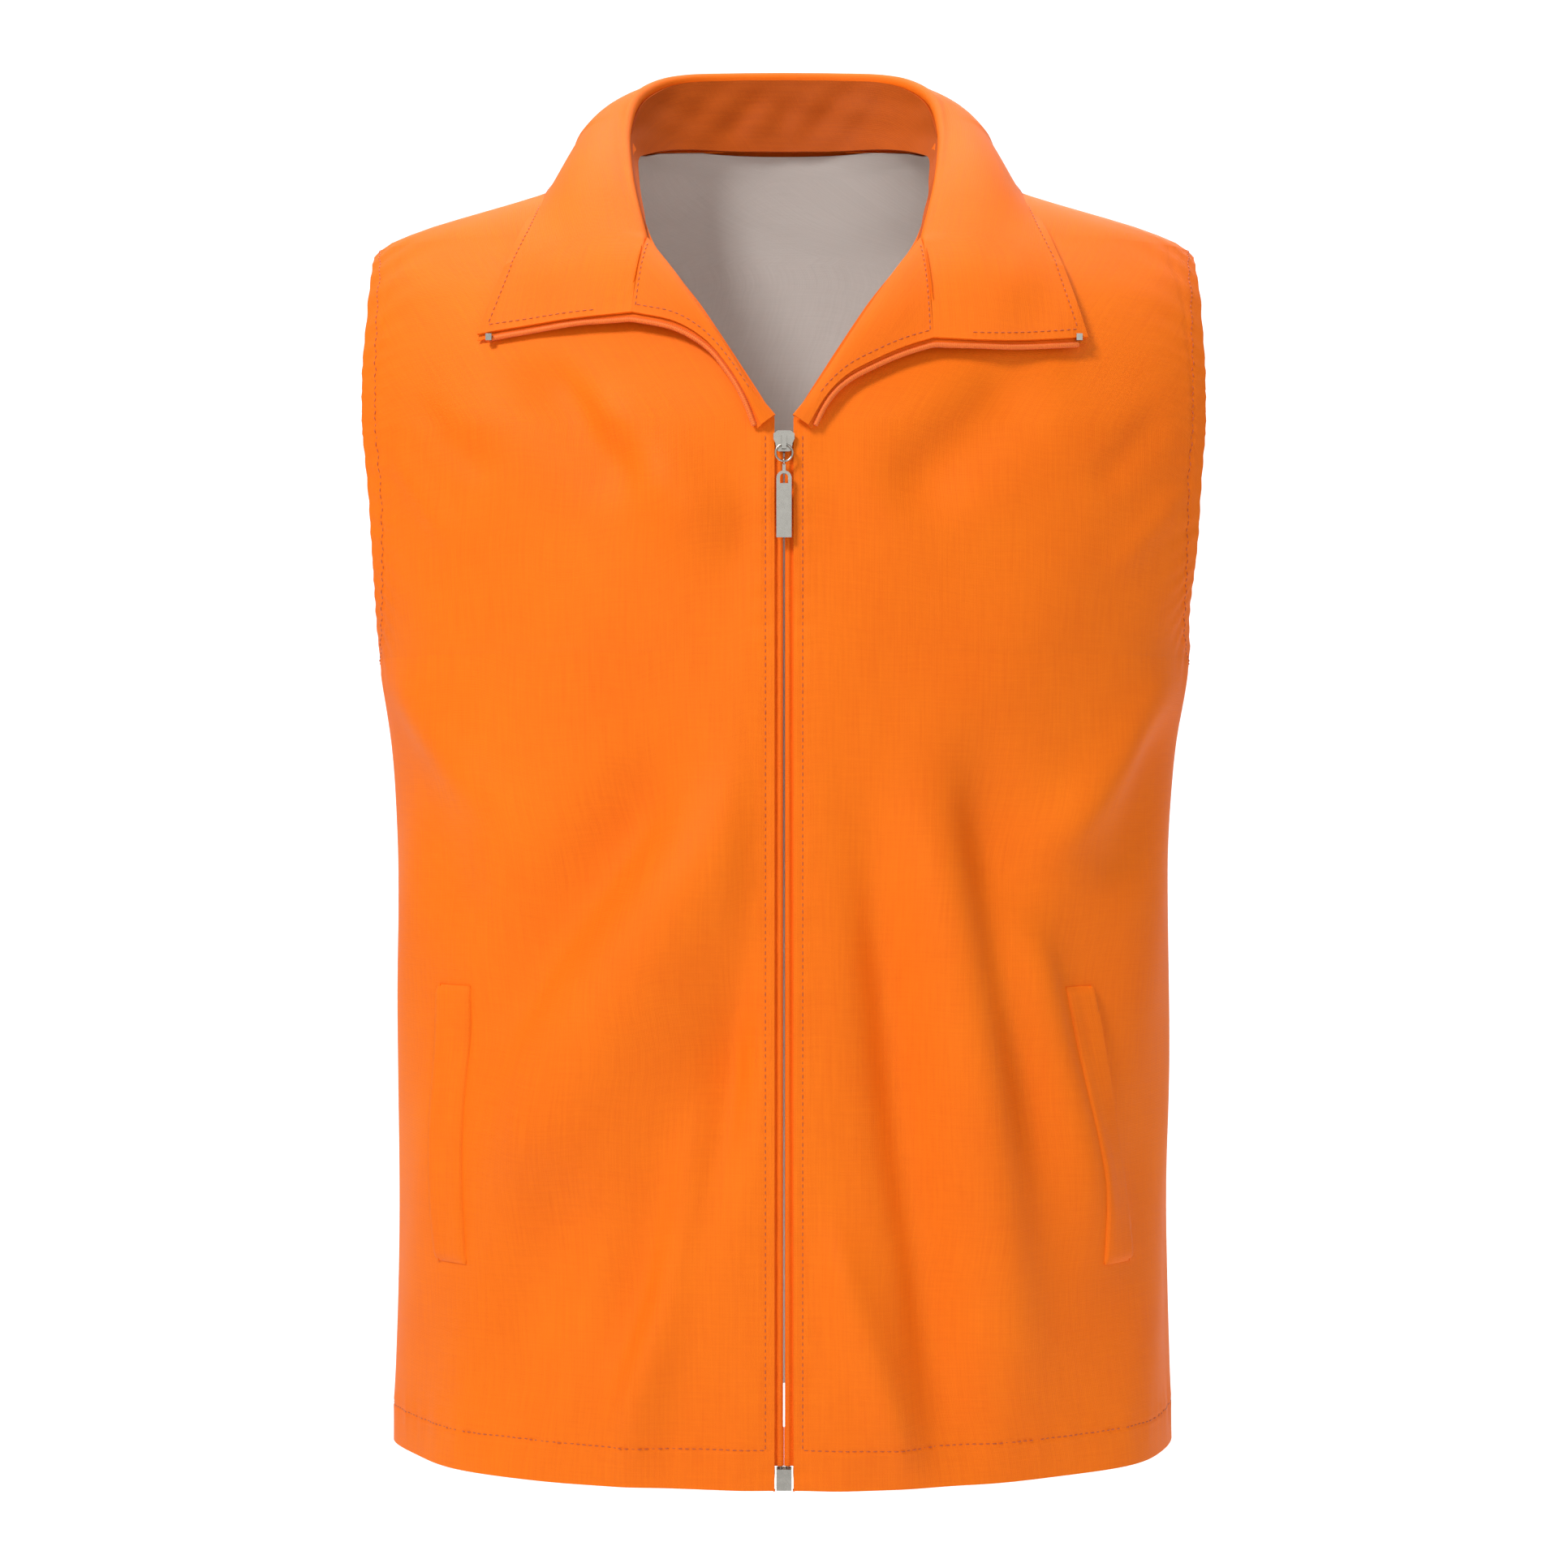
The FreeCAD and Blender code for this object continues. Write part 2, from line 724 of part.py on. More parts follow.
def slider_plate(name, front_y):
    """A shield-shaped plate: wide at the shoulders and narrow at the tail."""
    body = doc.addObject("PartDesign::Body", name)
    sketch = body.newObject("Sketcher::SketchObject", name + "_outline")
    sketch.AttachmentSupport = (origin_plane(body, "XZ_Plane"), [""])
    sketch.MapMode = "FlatFace"
    wide = size("slider_half_width")
    tail = size("slider_tail_half_width")
    tall = size("slider_height")
    right_half = [(tail * across, tall * up) for across, up in SLIDER_TAIL]
    right_half += [(wide * across, tall * up) for across, up in SLIDER_SHOULDER]
    left_half = [(-x, z) for x, z in reversed(right_half)]
    add_outline(sketch, right_half + left_half)
    pad = body.newObject("PartDesign::Pad", name + "_pad")
    pad.Profile = sketch
    pad.setExpression("Length", "Dimensions.slider_plate")
    body.Tip = pad
    body.setExpression(".Placement.Base.y", front_y)
    body.setExpression(".Placement.Base.z", "Dimensions.slider_bottom")
    return body


front_plate = slider_plate("slider_front_plate", "Dimensions.slider_front_y + Dimensions.slider_plate")
rear_plate = slider_plate("slider_rear_plate", "Dimensions.slider_rear_y + Dimensions.slider_plate")
SLIDER_TOP = "Dimensions.slider_bottom + Dimensions.slider_height"
POST = "Dimensions.slider_post / 2"
WELD = "Dimensions.weld_overlap"
slider_post = box_between(
    "slider_post",
    (f"-{POST}", f"Dimensions.slider_front_y + {WELD}", f"{SLIDER_TOP} - Dimensions.slider_post_height"),
    (POST, f"Dimensions.slider_rear_y + Dimensions.slider_plate - {WELD}", SLIDER_TOP))
flanges = []
for side_name, side in SIDES.items():
    near = "Dimensions.slider_flange_x"
    far = "Dimensions.slider_flange_x + Dimensions.slider_flange"
    low_x, high_x = (near, far) if side > 0 else (f"-({far})", f"-({near})")
    flange_top = "Dimensions.slider_bottom + Dimensions.slider_height * Dimensions.flange_top_share"
    flange_foot = "Dimensions.slider_bottom + Dimensions.slider_height * Dimensions.flange_foot_share"
    flanges.append(box_between(
        side_name + "_front_flange",
        (low_x, f"Dimensions.slider_front_y + {WELD}", flange_foot),
        (high_x, "Dimensions.zip_front_y - Dimensions.tape_clearance", flange_top)))
    flanges.append(box_between(
        side_name + "_rear_flange",
        (low_x, "Dimensions.zip_front_y + Dimensions.tape_thickness + Dimensions.tape_clearance",
         flange_foot),
        (high_x, f"Dimensions.slider_rear_y + {WELD}", flange_top)))
bridge_block = box_between(
    "bridge_block",
    ("-Dimensions.bridge_width / 2", "Dimensions.slider_front_y - Dimensions.bridge_reach",
     "Dimensions.slider_bottom + Dimensions.bridge_foot"),
    ("Dimensions.bridge_width / 2", f"Dimensions.slider_front_y + {WELD}",
     "Dimensions.slider_bottom + Dimensions.bridge_foot + Dimensions.bridge_height"))
bridge_hole = bound(
    "Part::Cylinder", "bridge_hole",
    Radius="Dimensions.bridge_hole_radius",
    Height="Dimensions.bridge_width * 2",
    Placement__Base__x="-Dimensions.bridge_width",
    Placement__Base__y="Dimensions.pull_axis_y",
    Placement__Base__z="Dimensions.pull_axis_z")
bridge_hole.Placement.Rotation = Rotation(Vector(0, 1, 0), 90)
bridge = combine("Part::Cut", "bridge", bridge_block, bridge_hole)
keep(join("slider", [front_plate, rear_plate, slider_post, bridge] + flanges), "slider_body")

ring = bound(
    "Part::Torus", "ring",
    Radius1="Dimensions.ring_radius",
    Radius2="Dimensions.ring_wire",
    Placement__Base__y="Dimensions.pull_axis_y",
    Placement__Base__z="Dimensions.pull_axis_z - Dimensions.ring_radius")
ring.Placement.Rotation = Rotation(Vector(1, 0, 0), 90)
keep(ring, "pull_ring")


def tab_plate():
    """A flat tab with a round-topped loop at its upper end."""
    body = doc.addObject("PartDesign::Body", "tab_plate")
    sketch = body.newObject("Sketcher::SketchObject", "tab_outline")
    sketch.AttachmentSupport = (origin_plane(body, "XZ_Plane"), [""])
    sketch.MapMode = "FlatFace"
    half = size("tab_half_width")
    tall = size("tab_length")
    shoulder = tall - half
    sketch.addGeometry(Part.LineSegment(Vector(-half, 0, 0), Vector(half, 0, 0)), False)
    sketch.addGeometry(Part.LineSegment(Vector(half, 0, 0), Vector(half, shoulder, 0)), False)
    sketch.addGeometry(Part.Arc(
        Vector(half, shoulder, 0), Vector(0, tall, 0), Vector(-half, shoulder, 0)), False)
    sketch.addGeometry(Part.LineSegment(Vector(-half, shoulder, 0), Vector(-half, 0, 0)), False)
    slot_half = size("tab_slot_half_width")
    slot_foot = size("tab_slot_bottom")
    slot_top = shoulder + size("tab_slot_arch")
    sketch.addGeometry(Part.LineSegment(
        Vector(-slot_half, slot_foot, 0), Vector(slot_half, slot_foot, 0)), False)
    sketch.addGeometry(Part.LineSegment(
        Vector(slot_half, slot_foot, 0), Vector(slot_half, slot_top, 0)), False)
    sketch.addGeometry(Part.Arc(
        Vector(slot_half, slot_top, 0), Vector(0, slot_top + slot_half, 0),
        Vector(-slot_half, slot_top, 0)), False)
    sketch.addGeometry(Part.LineSegment(
        Vector(-slot_half, slot_top, 0), Vector(-slot_half, slot_foot, 0)), False)
    pad = body.newObject("PartDesign::Pad", "tab_pad")
    pad.Profile = sketch
    pad.setExpression("Length", "Dimensions.tab_thickness")
    body.Tip = pad
    return body


EYE_Z = "Dimensions.pull_axis_z - 2 * Dimensions.ring_radius"
TAB_TOP = f"{EYE_Z} - Dimensions.eye_radius - Dimensions.tab_neck"
plate = tab_plate()
plate.setExpression(".Placement.Base.y", "Dimensions.pull_axis_y + Dimensions.tab_thickness / 2")
plate.setExpression(".Placement.Base.z", f"{TAB_TOP} - Dimensions.tab_length")
neck = box_between(
    "tab_neck_bar",
    ("-Dimensions.tab_neck_half_width", "Dimensions.pull_axis_y - Dimensions.tab_neck_half_depth",
     f"{TAB_TOP} - {WELD}"),
    ("Dimensions.tab_neck_half_width", "Dimensions.pull_axis_y + Dimensions.tab_neck_half_depth",
     f"{EYE_Z} - Dimensions.eye_radius"))
eye = bound(
    "Part::Torus", "tab_eye",
    Radius1="Dimensions.eye_radius",
    Radius2="Dimensions.eye_wire",
    Placement__Base__y="Dimensions.pull_axis_y",
    Placement__Base__z=EYE_Z)
eye.Placement.Rotation = Rotation(Vector(0, 1, 0), 90)
keep(join("tab", [plate, neck, eye]), "pull_tab")

# ---------------------------------------------------------------- check and write

doc.recompute()
for item in doc.Objects:
    if "Invalid" in item.State or "Error" in item.State:
        raise SystemExit(f"{item.Name} failed: {item.State}")
os.makedirs("parts", exist_ok=True)
for item in sub_parts:
    if item.Shape.isNull() or not item.Shape.isValid():
        raise SystemExit(f"{item.Label} has no valid shape")
for item in sub_parts:
    item.Shape.exportStep(f"parts/{item.Label}.step")
    box = item.Shape.BoundBox
    print(f"{item.Label}: {len(item.Shape.Solids)} solid(s), {item.Shape.Volume:.0f} mm3, "
          f"x {box.XMin:.1f}..{box.XMax:.1f}, y {box.YMin:.1f}..{box.YMax:.1f}, "
          f"z {box.ZMin:.1f}..{box.ZMax:.1f}")
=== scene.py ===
import json
import math
import bpy
import numpy as np
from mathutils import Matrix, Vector


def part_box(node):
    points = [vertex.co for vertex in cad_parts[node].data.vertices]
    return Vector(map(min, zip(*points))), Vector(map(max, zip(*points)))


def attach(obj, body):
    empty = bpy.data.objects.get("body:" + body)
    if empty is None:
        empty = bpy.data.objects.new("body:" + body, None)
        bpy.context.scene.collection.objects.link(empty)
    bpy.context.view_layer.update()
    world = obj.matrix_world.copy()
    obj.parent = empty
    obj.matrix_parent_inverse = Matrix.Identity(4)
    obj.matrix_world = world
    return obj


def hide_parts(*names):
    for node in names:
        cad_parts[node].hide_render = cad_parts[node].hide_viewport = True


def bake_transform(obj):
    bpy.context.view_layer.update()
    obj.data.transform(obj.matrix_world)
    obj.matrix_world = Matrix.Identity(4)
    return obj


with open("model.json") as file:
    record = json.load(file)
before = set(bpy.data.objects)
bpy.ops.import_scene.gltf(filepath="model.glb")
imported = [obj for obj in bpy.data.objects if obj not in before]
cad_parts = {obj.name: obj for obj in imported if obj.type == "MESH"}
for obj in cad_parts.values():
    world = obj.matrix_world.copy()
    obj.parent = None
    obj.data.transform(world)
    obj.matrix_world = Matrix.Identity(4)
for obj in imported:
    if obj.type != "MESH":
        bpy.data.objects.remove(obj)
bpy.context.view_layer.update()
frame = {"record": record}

# A lined zip-front vest, in metres, around the imported frame. +Z up, -Y to the front,
# +X to the wearer's left. Cloth is built on one body form. Edges, joints and the zip come from the
# frame; the form's sections, the folds and the collar's lines are set to suit it.

# ---------------------------------------------------------------- main places


def low(node, axis):
    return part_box(node)[0]["xyz".index(axis)]


def high(node, axis):
    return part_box(node)[1]["xyz".index(axis)]


def middle(node, axis):
    return (low(node, axis) + high(node, axis)) / 2


JOINTS = {joint["name"]: joint for joint in frame["record"]["behaviour"]["joints"]}
FRONT_REACH = -low("left_front_shell", "y")
NECK_POINT = high("left_front_shell", "z")
BACK_TOP = high("back_shell", "z")
PLACKET = low("left_front_shell", "x")
ZIP_TOP = JOINTS["left_lapel_fold"]["pos_m"][2]
FACING_BELOW_ARMHOLE = 0.0155
FACING_ABOVE_ARMHOLE = 0.0005
ARMHOLE_LOW = low("left_armhole_facing", "z") + FACING_BELOW_ARMHOLE
ARMHOLE_HIGH = high("left_armhole_facing", "z") - FACING_ABOVE_ARMHOLE
ARMHOLE_MIDDLE = (ARMHOLE_HIGH + ARMHOLE_LOW) / 2
ARMHOLE_HALF = (ARMHOLE_HIGH - ARMHOLE_LOW) / 2
ARMHOLE_HALF_DEPTH = 0.065
SIDES = {"left": 1, "right": -1}

# Level sections of the body form: height, half width, front reach and back reach.
LEVELS = np.array([
    (0.000, 0.2090, FRONT_REACH, FRONT_REACH),
    (0.140, 0.2065, FRONT_REACH, 0.134),
    (0.300, 0.2070, FRONT_REACH, 0.132),
    (0.414, 0.2160, FRONT_REACH, 0.130),
    (0.490, 0.2360, FRONT_REACH, 0.125),
    (0.527, 0.2430, 0.133, 0.122),
    (0.560, 0.2460, 0.123, 0.117),
    (0.600, 0.2400, 0.105, 0.110),
    (0.635, 0.2190, 0.078, 0.100),
    (0.672, 0.1180, 0.048, 0.088),
    (0.700, 0.0800, 0.020, 0.076),
    (0.712, 0.0660, 0.008, 0.070)])
SQUARENESS = 0.92

# The front opening's outline: height and half width.
OPENING = np.array([
    (ZIP_TOP - 0.003, 0.0), (0.548, 0.0146), (0.588, 0.0396), (0.6315, 0.0685),
    (0.668, 0.078), (0.700, 0.081), (0.780, 0.081)])


def smooth_curve(knots, x):
    """A monotone cubic through knots (x in column 0), one result per other column."""
    xs, ys = knots[:, 0], knots[:, 1:]
    step = np.diff(xs)[:, None]
    slope = np.diff(ys, axis=0) / step
    tangent = np.zeros_like(ys)
    tangent[0], tangent[-1] = slope[0], slope[-1]
    same_way = slope[:-1] * slope[1:] > 0
    both = slope[:-1] + slope[1:]
    harmonic = 2 * slope[:-1] * slope[1:] / np.where(same_way, both, 1)
    tangent[1:-1] = np.where(same_way, harmonic, 0)
    x = np.clip(np.asarray(x, float), xs[0], xs[-1])
    at = np.clip(np.searchsorted(xs, x) - 1, 0, len(xs) - 2)
    width = step[at, 0][..., None]
    t = ((x - xs[at])[..., None]) / width
    return ((2 * t ** 3 - 3 * t ** 2 + 1) * ys[at] + (t ** 3 - 2 * t ** 2 + t) * width * tangent[at]
            + (3 * t ** 2 - 2 * t ** 3) * ys[at + 1] + (t ** 3 - t ** 2) * width * tangent[at + 1])


def unit(vectors):
    return vectors / np.maximum(np.linalg.norm(vectors, axis=-1, keepdims=True), 1e-9)


def smoothstep(low_edge, high_edge, value):
    t = np.clip((value - low_edge) / (high_edge - low_edge), 0, 1)
    return t * t * (3 - 2 * t)


# ---------------------------------------------------------------- the body form


def form(angle, height):
    """Points of the smooth form; the angle runs from the front centre round the wearer's left."""
    shape = smooth_curve(LEVELS, height)
    turn = np.radians(angle)
    reach = np.where(np.cos(turn) < 0, shape[..., 2], shape[..., 1])
    x = shape[..., 0] * np.sign(np.sin(turn)) * np.abs(np.sin(turn)) ** SQUARENESS
    y = -reach * np.sign(np.cos(turn)) * np.abs(np.cos(turn)) ** SQUARENESS
    return np.stack([x, y, np.broadcast_to(height, x.shape)], axis=-1)


def angle_at_x(height, x):
    half = smooth_curve(LEVELS, height)[..., 0]
    return np.degrees(np.arcsin(np.clip(x / half, 0, 1) ** (1 / SQUARENESS)))


def angle_at_y(height, y):
    shape = smooth_curve(LEVELS, height)
    reach = np.where(y < 0, shape[..., 1], shape[..., 2])
    from_end = np.degrees(np.arccos(np.clip(np.abs(y) / reach, 0, 1) ** (1 / SQUARENESS)))
    return np.where(y < 0, from_end, 180 - from_end)


def armhole_y(height, margin=0.0):
    """Half depth of the armhole at a height; 0 above and below it."""
    rise = (height - ARMHOLE_MIDDLE) / (ARMHOLE_HALF + margin)
    return (ARMHOLE_HALF_DEPTH + margin) * np.sqrt(np.clip(1 - rise * rise, 0, 1))


def opening_x(height):
    return np.maximum(smooth_curve(OPENING, height)[..., 0], PLACKET)


# ---------------------------------------------------------------- folds of the cloth

# Folds: start (x, z), end (x, z), half width, and height before FOLD_DEPTH; minus is a hollow.
FRONT_FOLDS = [
    ((-0.020, 0.345), (-0.150, 0.125), 0.030, 0.0060),
    ((-0.055, 0.360), (-0.175, 0.200), 0.022, -0.0050),
    ((-0.012, 0.250), (-0.085, 0.060), 0.020, -0.0050),
    ((-0.040, 0.200), (-0.078, 0.010), 0.012, 0.0045),
    ((-0.110, 0.160), (-0.150, 0.020), 0.022, -0.0045),
    ((-0.205, 0.410), (-0.150, 0.335), 0.012, 0.0050),
    ((-0.200, 0.380), (-0.160, 0.270), 0.016, -0.0045),
    ((-0.135, 0.560), (-0.070, 0.500), 0.016, -0.0045),
    ((-0.100, 0.545), (-0.030, 0.470), 0.018, 0.0035),
    ((0.045, 0.330), (0.085, 0.020), 0.016, -0.0055),
    ((0.075, 0.330), (0.115, 0.050), 0.020, 0.0050),
    ((0.100, 0.370), (0.135, 0.170), 0.020, -0.0050),
    ((0.116, 0.290), (0.165, 0.110), 0.014, 0.0065),
    ((0.150, 0.300), (0.190, 0.110), 0.018, -0.0045),
    ((0.205, 0.410), (0.140, 0.320), 0.012, 0.0055),
    ((0.200, 0.385), (0.165, 0.290), 0.014, -0.0045),
    ((0.130, 0.555), (0.060, 0.490), 0.020, -0.0040),
    ((0.020, 0.130), (0.060, 0.010), 0.012, 0.0030),
    ((-0.190, 0.545), (-0.150, 0.505), 0.009, -0.0030),
    ((-0.200, 0.520), (-0.165, 0.470), 0.008, 0.0030),
    ((0.195, 0.540), (0.160, 0.500), 0.009, -0.0028),
    ((0.205, 0.500), (0.170, 0.460), 0.008, 0.0026)]
BACK_FOLDS = [
    ((-0.200, 0.400), (-0.090, 0.250), 0.022, 0.0050),
    ((0.200, 0.400), (0.090, 0.250), 0.022, 0.0050),
    ((-0.060, 0.300), (-0.110, 0.020), 0.024, -0.0050),
    ((0.050, 0.320), (0.110, 0.020), 0.026, -0.0055),
    ((0.000, 0.260), (0.010, 0.010), 0.024, 0.0045),
    ((-0.160, 0.220), (-0.180, 0.020), 0.020, 0.0040),
    ((0.150, 0.240), (0.175, 0.020), 0.020, 0.0040),
    ((-0.110, 0.560), (-0.040, 0.470), 0.022, -0.0035),
    ((0.110, 0.560), (0.050, 0.460), 0.022, -0.0035)]
FOLD_DEPTH = 2.3
HEM_BAND = 0.020
STITCH_FROM_PLACKET = 0.0046
ARMHOLE_BAND = 0.0075


def fold_height(points, folds):
    """How far the folds lift the cloth at points (x, z)."""
    lift = np.zeros(points.shape[:-1])
    for start, end, width, height in folds:
        start, run = np.array(start), np.array(end) - np.array(start)
        along = np.clip(((points - start) @ run) / (run @ run), -0.15, 1.15)
        away = np.linalg.norm(points - start - along[..., None] * run, axis=-1)
        fade = smoothstep(-0.15, 0.25, along) * (1 - smoothstep(0.75, 1.15, along))
        lift += height * np.exp(-(away / width) ** 2) * fade
    return lift


def small_waves(angle, height):
    """Slow unevenness all over, with short puckers along the hem's stitching."""
    turn = np.radians(angle)
    slow = 0.0011 * np.sin(5 * turn + 9 * height) * np.sin(17 * height + 2 * turn)
    slow += 0.0007 * np.sin(13 * turn - 31 * height + 1.3)
    near_hem = np.exp(-((height - HEM_BAND) / 0.012) ** 2)
    pucker = 0.00045 * np.sin(95 * turn + 3 * np.sin(21 * turn)) * near_hem
    hem_flare = 0.0020 * np.sin(7 * turn + 0.8) * (1 - smoothstep(0.0, 0.16, height))
    return slow + pucker + hem_flare


def groove(distance):
    """A stitched groove with the cloth puffed a little on both sides of it."""
    return 0.00022 * np.exp(-(distance / 0.0035) ** 2) - 0.00050 * np.exp(-(distance / 0.0010) ** 2)


def seam_relief(base):
    """Relief along the placket and armhole stitching, with short puckers across it."""
    x, y, z = np.abs(base[..., 0]), base[..., 1], base[..., 2]
    from_placket = x - (PLACKET + STITCH_FROM_PLACKET)
    placket = groove(from_placket) * (y < 0) * (z < ZIP_TOP) * (z > HEM_BAND)
    near_placket = np.exp(-(from_placket / 0.006) ** 2)
    ripples = 0.00035 * np.sin(2 * math.pi * z / 0.017 + 5 * np.sin(31 * z))
    placket = placket + ripples * near_placket * (y < 0) * (z < ZIP_TOP)
    rise = z - ARMHOLE_MIDDLE
    reach = np.sqrt((y / ARMHOLE_HALF_DEPTH) ** 2 + (rise / ARMHOLE_HALF) ** 2)
    from_armhole = (reach - 1) * ARMHOLE_HALF_DEPTH - ARMHOLE_BAND
    turn = np.arctan2(y, rise)
    pucker = 0.00045 * np.sin(52 * turn + 4 * np.sin(5 * turn)) * np.exp(-(from_armhole / 0.009) ** 2)
    armhole = (groove(from_armhole) + pucker) * (x > 0.12)
    hem = groove(z - HEM_BAND)
    return placket + armhole + hem


def cloth(angle, height, lift=0.0, side=1):
    """Points on the outside of the draped cloth, lifted off it by lift."""
    angle, height = np.broadcast_arrays(np.asarray(angle, float), np.asarray(height, float))
    signed = angle * side

    def lifted(a, z):
        base = form(a, z)
        outward = unit(base * np.array([1, 1, 0]))
        seen = base[..., [0, 2]]
        in_front = 1 - smoothstep(-0.03, 0.01, base[..., 1])
        behind = smoothstep(-0.01, 0.03, base[..., 1])
        folds = fold_height(seen, FRONT_FOLDS) * in_front + fold_height(seen, BACK_FOLDS) * behind
        keep_zip = smoothstep(0.006, 0.030, np.abs(base[..., 0])) * in_front + behind
        edge = 1 - smoothstep(0.600, 0.640, z)
        calm = 1 - 0.6 * smoothstep(0.125, 0.165, np.abs(base[..., 0])) * in_front
        total = (FOLD_DEPTH * folds * calm + small_waves(a, z)) * np.clip(keep_zip, 0, 1) * edge
        total = total + seam_relief(base)
        return base + outward * total[..., None]

    points = lifted(signed, height)
    if np.any(np.asarray(lift) != 0):
        tiny_angle, tiny_height = 0.25, 0.0015
        across = lifted(signed + tiny_angle, height) - lifted(signed - tiny_angle, height)
        up = lifted(signed, height + tiny_height) - lifted(signed, height - tiny_height)
        points = points + unit(np.cross(across, up)) * np.asarray(lift)[..., None]
    return points


def over_front(x, height, standoff):
    """A point in front of the smooth form, given as it is seen from the front."""
    angle = float(angle_at_x(height, abs(x)))
    point = form(angle * math.copysign(1, x), height)
    return np.array([x, point[1] - standoff, height])


# ---------------------------------------------------------------- mesh helpers


def new_object(name, vertices, faces, material, body="root", uv=None):
    mesh = bpy.data.meshes.new(name)
    mesh.from_pydata([tuple(v) for v in vertices], [], faces)
    mesh.polygons.foreach_set("use_smooth", [True] * len(mesh.polygons))
    if uv is not None:
        layer = mesh.uv_layers.new(name="cloth")
        loops = np.empty(len(mesh.loops), int)
        mesh.loops.foreach_get("vertex_index", loops)
        layer.data.foreach_set("uv", uv[loops].ravel())
    mesh.update()
    made = bpy.data.objects.new(name, mesh)
    bpy.context.collection.objects.link(made)
    made.data.materials.append(material)
    if body:
        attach(made, body)
    return made


BODY_MIDDLE = np.array([0.0, 0.010, 0.0])
SHARP_ANGLE = math.radians(55)


def grid_faces(rows, columns, flip=False):
    faces = []
    for row in range(rows - 1):
        for column in range(columns - 1):
            a = row * columns + column
            quad = (a, a + 1, a + 1 + columns, a + columns)
            faces.append(quad[::-1] if flip else quad)
    return faces


def arc_lengths(points, axis):
    steps = np.linalg.norm(np.diff(points, axis=axis), axis=-1)
    start = np.zeros_like(np.take(steps, [0], axis=axis))
    return np.concatenate([start, np.cumsum(steps, axis=axis)], axis=axis)


def faces_inward(points):
    """Whether a grid's faces look towards the middle of the body."""
    across = np.diff(points, axis=1)[:-1]
    up = np.diff(points, axis=0)[:, :-1]
    looking = np.cross(across, up)
    away = points[:-1, :-1] - np.array([0, 0, 1]) * points[:-1, :-1] - BODY_MIDDLE
    return float(np.sum(looking * away)) < 0


def sheet_object(name, points, material, thickness, body="root"):
    """A grid of points made into cloth of a real thickness, with its own weave directions."""
    rows, columns = points.shape[:2]
    uv = np.stack([arc_lengths(points, 1), arc_lengths(points, 0)], axis=-1).reshape(-1, 2)
    flip = faces_inward(points)
    made = new_object(
        name, points.reshape(-1, 3), grid_faces(rows, columns, flip), material, None, uv)
    solid = made.modifiers.new("thickness", "SOLIDIFY")
    solid.thickness = thickness
    solid.offset = -1.0
    apply_modifiers(made)
    made.data.set_sharp_from_angle(angle=SHARP_ANGLE)
    if body:
        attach(made, body)
    return made


def apply_modifiers(made):
    graph = bpy.context.evaluated_depsgraph_get()
    mesh = bpy.data.meshes.new_from_object(made.evaluated_get(graph))
    made.modifiers.clear()
    made.data = mesh


def at_lengths(path, at, values=None):
    """The path's points at lengths along it, or the values that go with its points."""
    length = arc_lengths(path, 0)
    values = path if values is None else values
    return np.stack([np.interp(at, length, values[:, k]) for k in range(3)], axis=-1)


def resample(path, outward, pitch):
    """Evenly spaced points along a path, with the way it runs and the way out of the cloth at each."""
    length = arc_lengths(path, 0)[-1]
    count = max(int(length / pitch), 2)
    at = (np.arange(count) + 0.5) * length / count
    way = at_lengths(path, at + pitch / 3) - at_lengths(path, at - pitch / 3)
    return at_lengths(path, at), unit(way), unit(at_lengths(path, at, outward))


def ring_points(centre, first, second, radius, sides):
    turns = [2 * math.pi * k / sides for k in range(sides)]
    return [centre + (first * math.cos(turn) + second * math.sin(turn)) * radius for turn in turns]


def ring_faces(base, rings, sides):
    """Faces that join rings of points into a tube with closed ends."""
    faces = []
    for ring in range(rings - 1):
        for k in range(sides):
            a, b = base + ring * sides + k, base + ring * sides + (k + 1) % sides
            faces.append((a, b, b + sides, a + sides))
    faces.append(tuple(base + k for k in reversed(range(sides))))
    last = base + (rings - 1) * sides
    faces.append(tuple(last + k for k in range(sides)))
    return faces


STITCH_PITCH = 0.0034
STITCH_LENGTH = 0.0025
STITCH_RADIUS = 0.00033


def stitches(name, runs, body="root"):
    """Separate thread stitches along each run, which is a path and the way out of the cloth on it."""
    vertices, faces = [], []
    rings, sides = 5, 6
    for path, outward in runs:
        for point, way, out in zip(*resample(path, outward, STITCH_PITCH)):
            out = unit(out - way * (out @ way))
            aside = np.cross(way, out)
            base = len(vertices)
            for ring in range(rings):
                t = ring / (rings - 1) * 2 - 1
                radius = STITCH_RADIUS * math.sqrt(max(1 - t * t, 0.04))
                centre = point + way * (t * STITCH_LENGTH / 2) + out * STITCH_RADIUS * (0.5 - 0.6 * t * t)
                vertices += ring_points(centre, aside, out, radius, sides)
            faces += ring_faces(base, rings, sides)
    return new_object(name, vertices, faces, THREAD, body)


def ribbed_tube(path, radius, sides, rib_pitch, rib_height):
    """A closed tube along a path, with rounded ribs round it."""
    path = np.asarray(path)
    length = arc_lengths(path, 0)
    ways = np.gradient(path, axis=0)
    ways /= np.linalg.norm(ways, axis=-1, keepdims=True)
    up = np.array([0.0, 0.0, 1.0]) if abs(ways[0][2]) < 0.9 else np.array([0.0, 1.0, 0.0])
    vertices = []
    for index, (point, way) in enumerate(zip(path, ways)):
        first = np.cross(up, way)
        first /= np.linalg.norm(first)
        second = np.cross(way, first)
        size = radius + rib_height * abs(math.sin(math.pi * length[index] / rib_pitch))
        vertices += ring_points(point, first, second, size, sides)
    return vertices, ring_faces(0, len(path), sides)


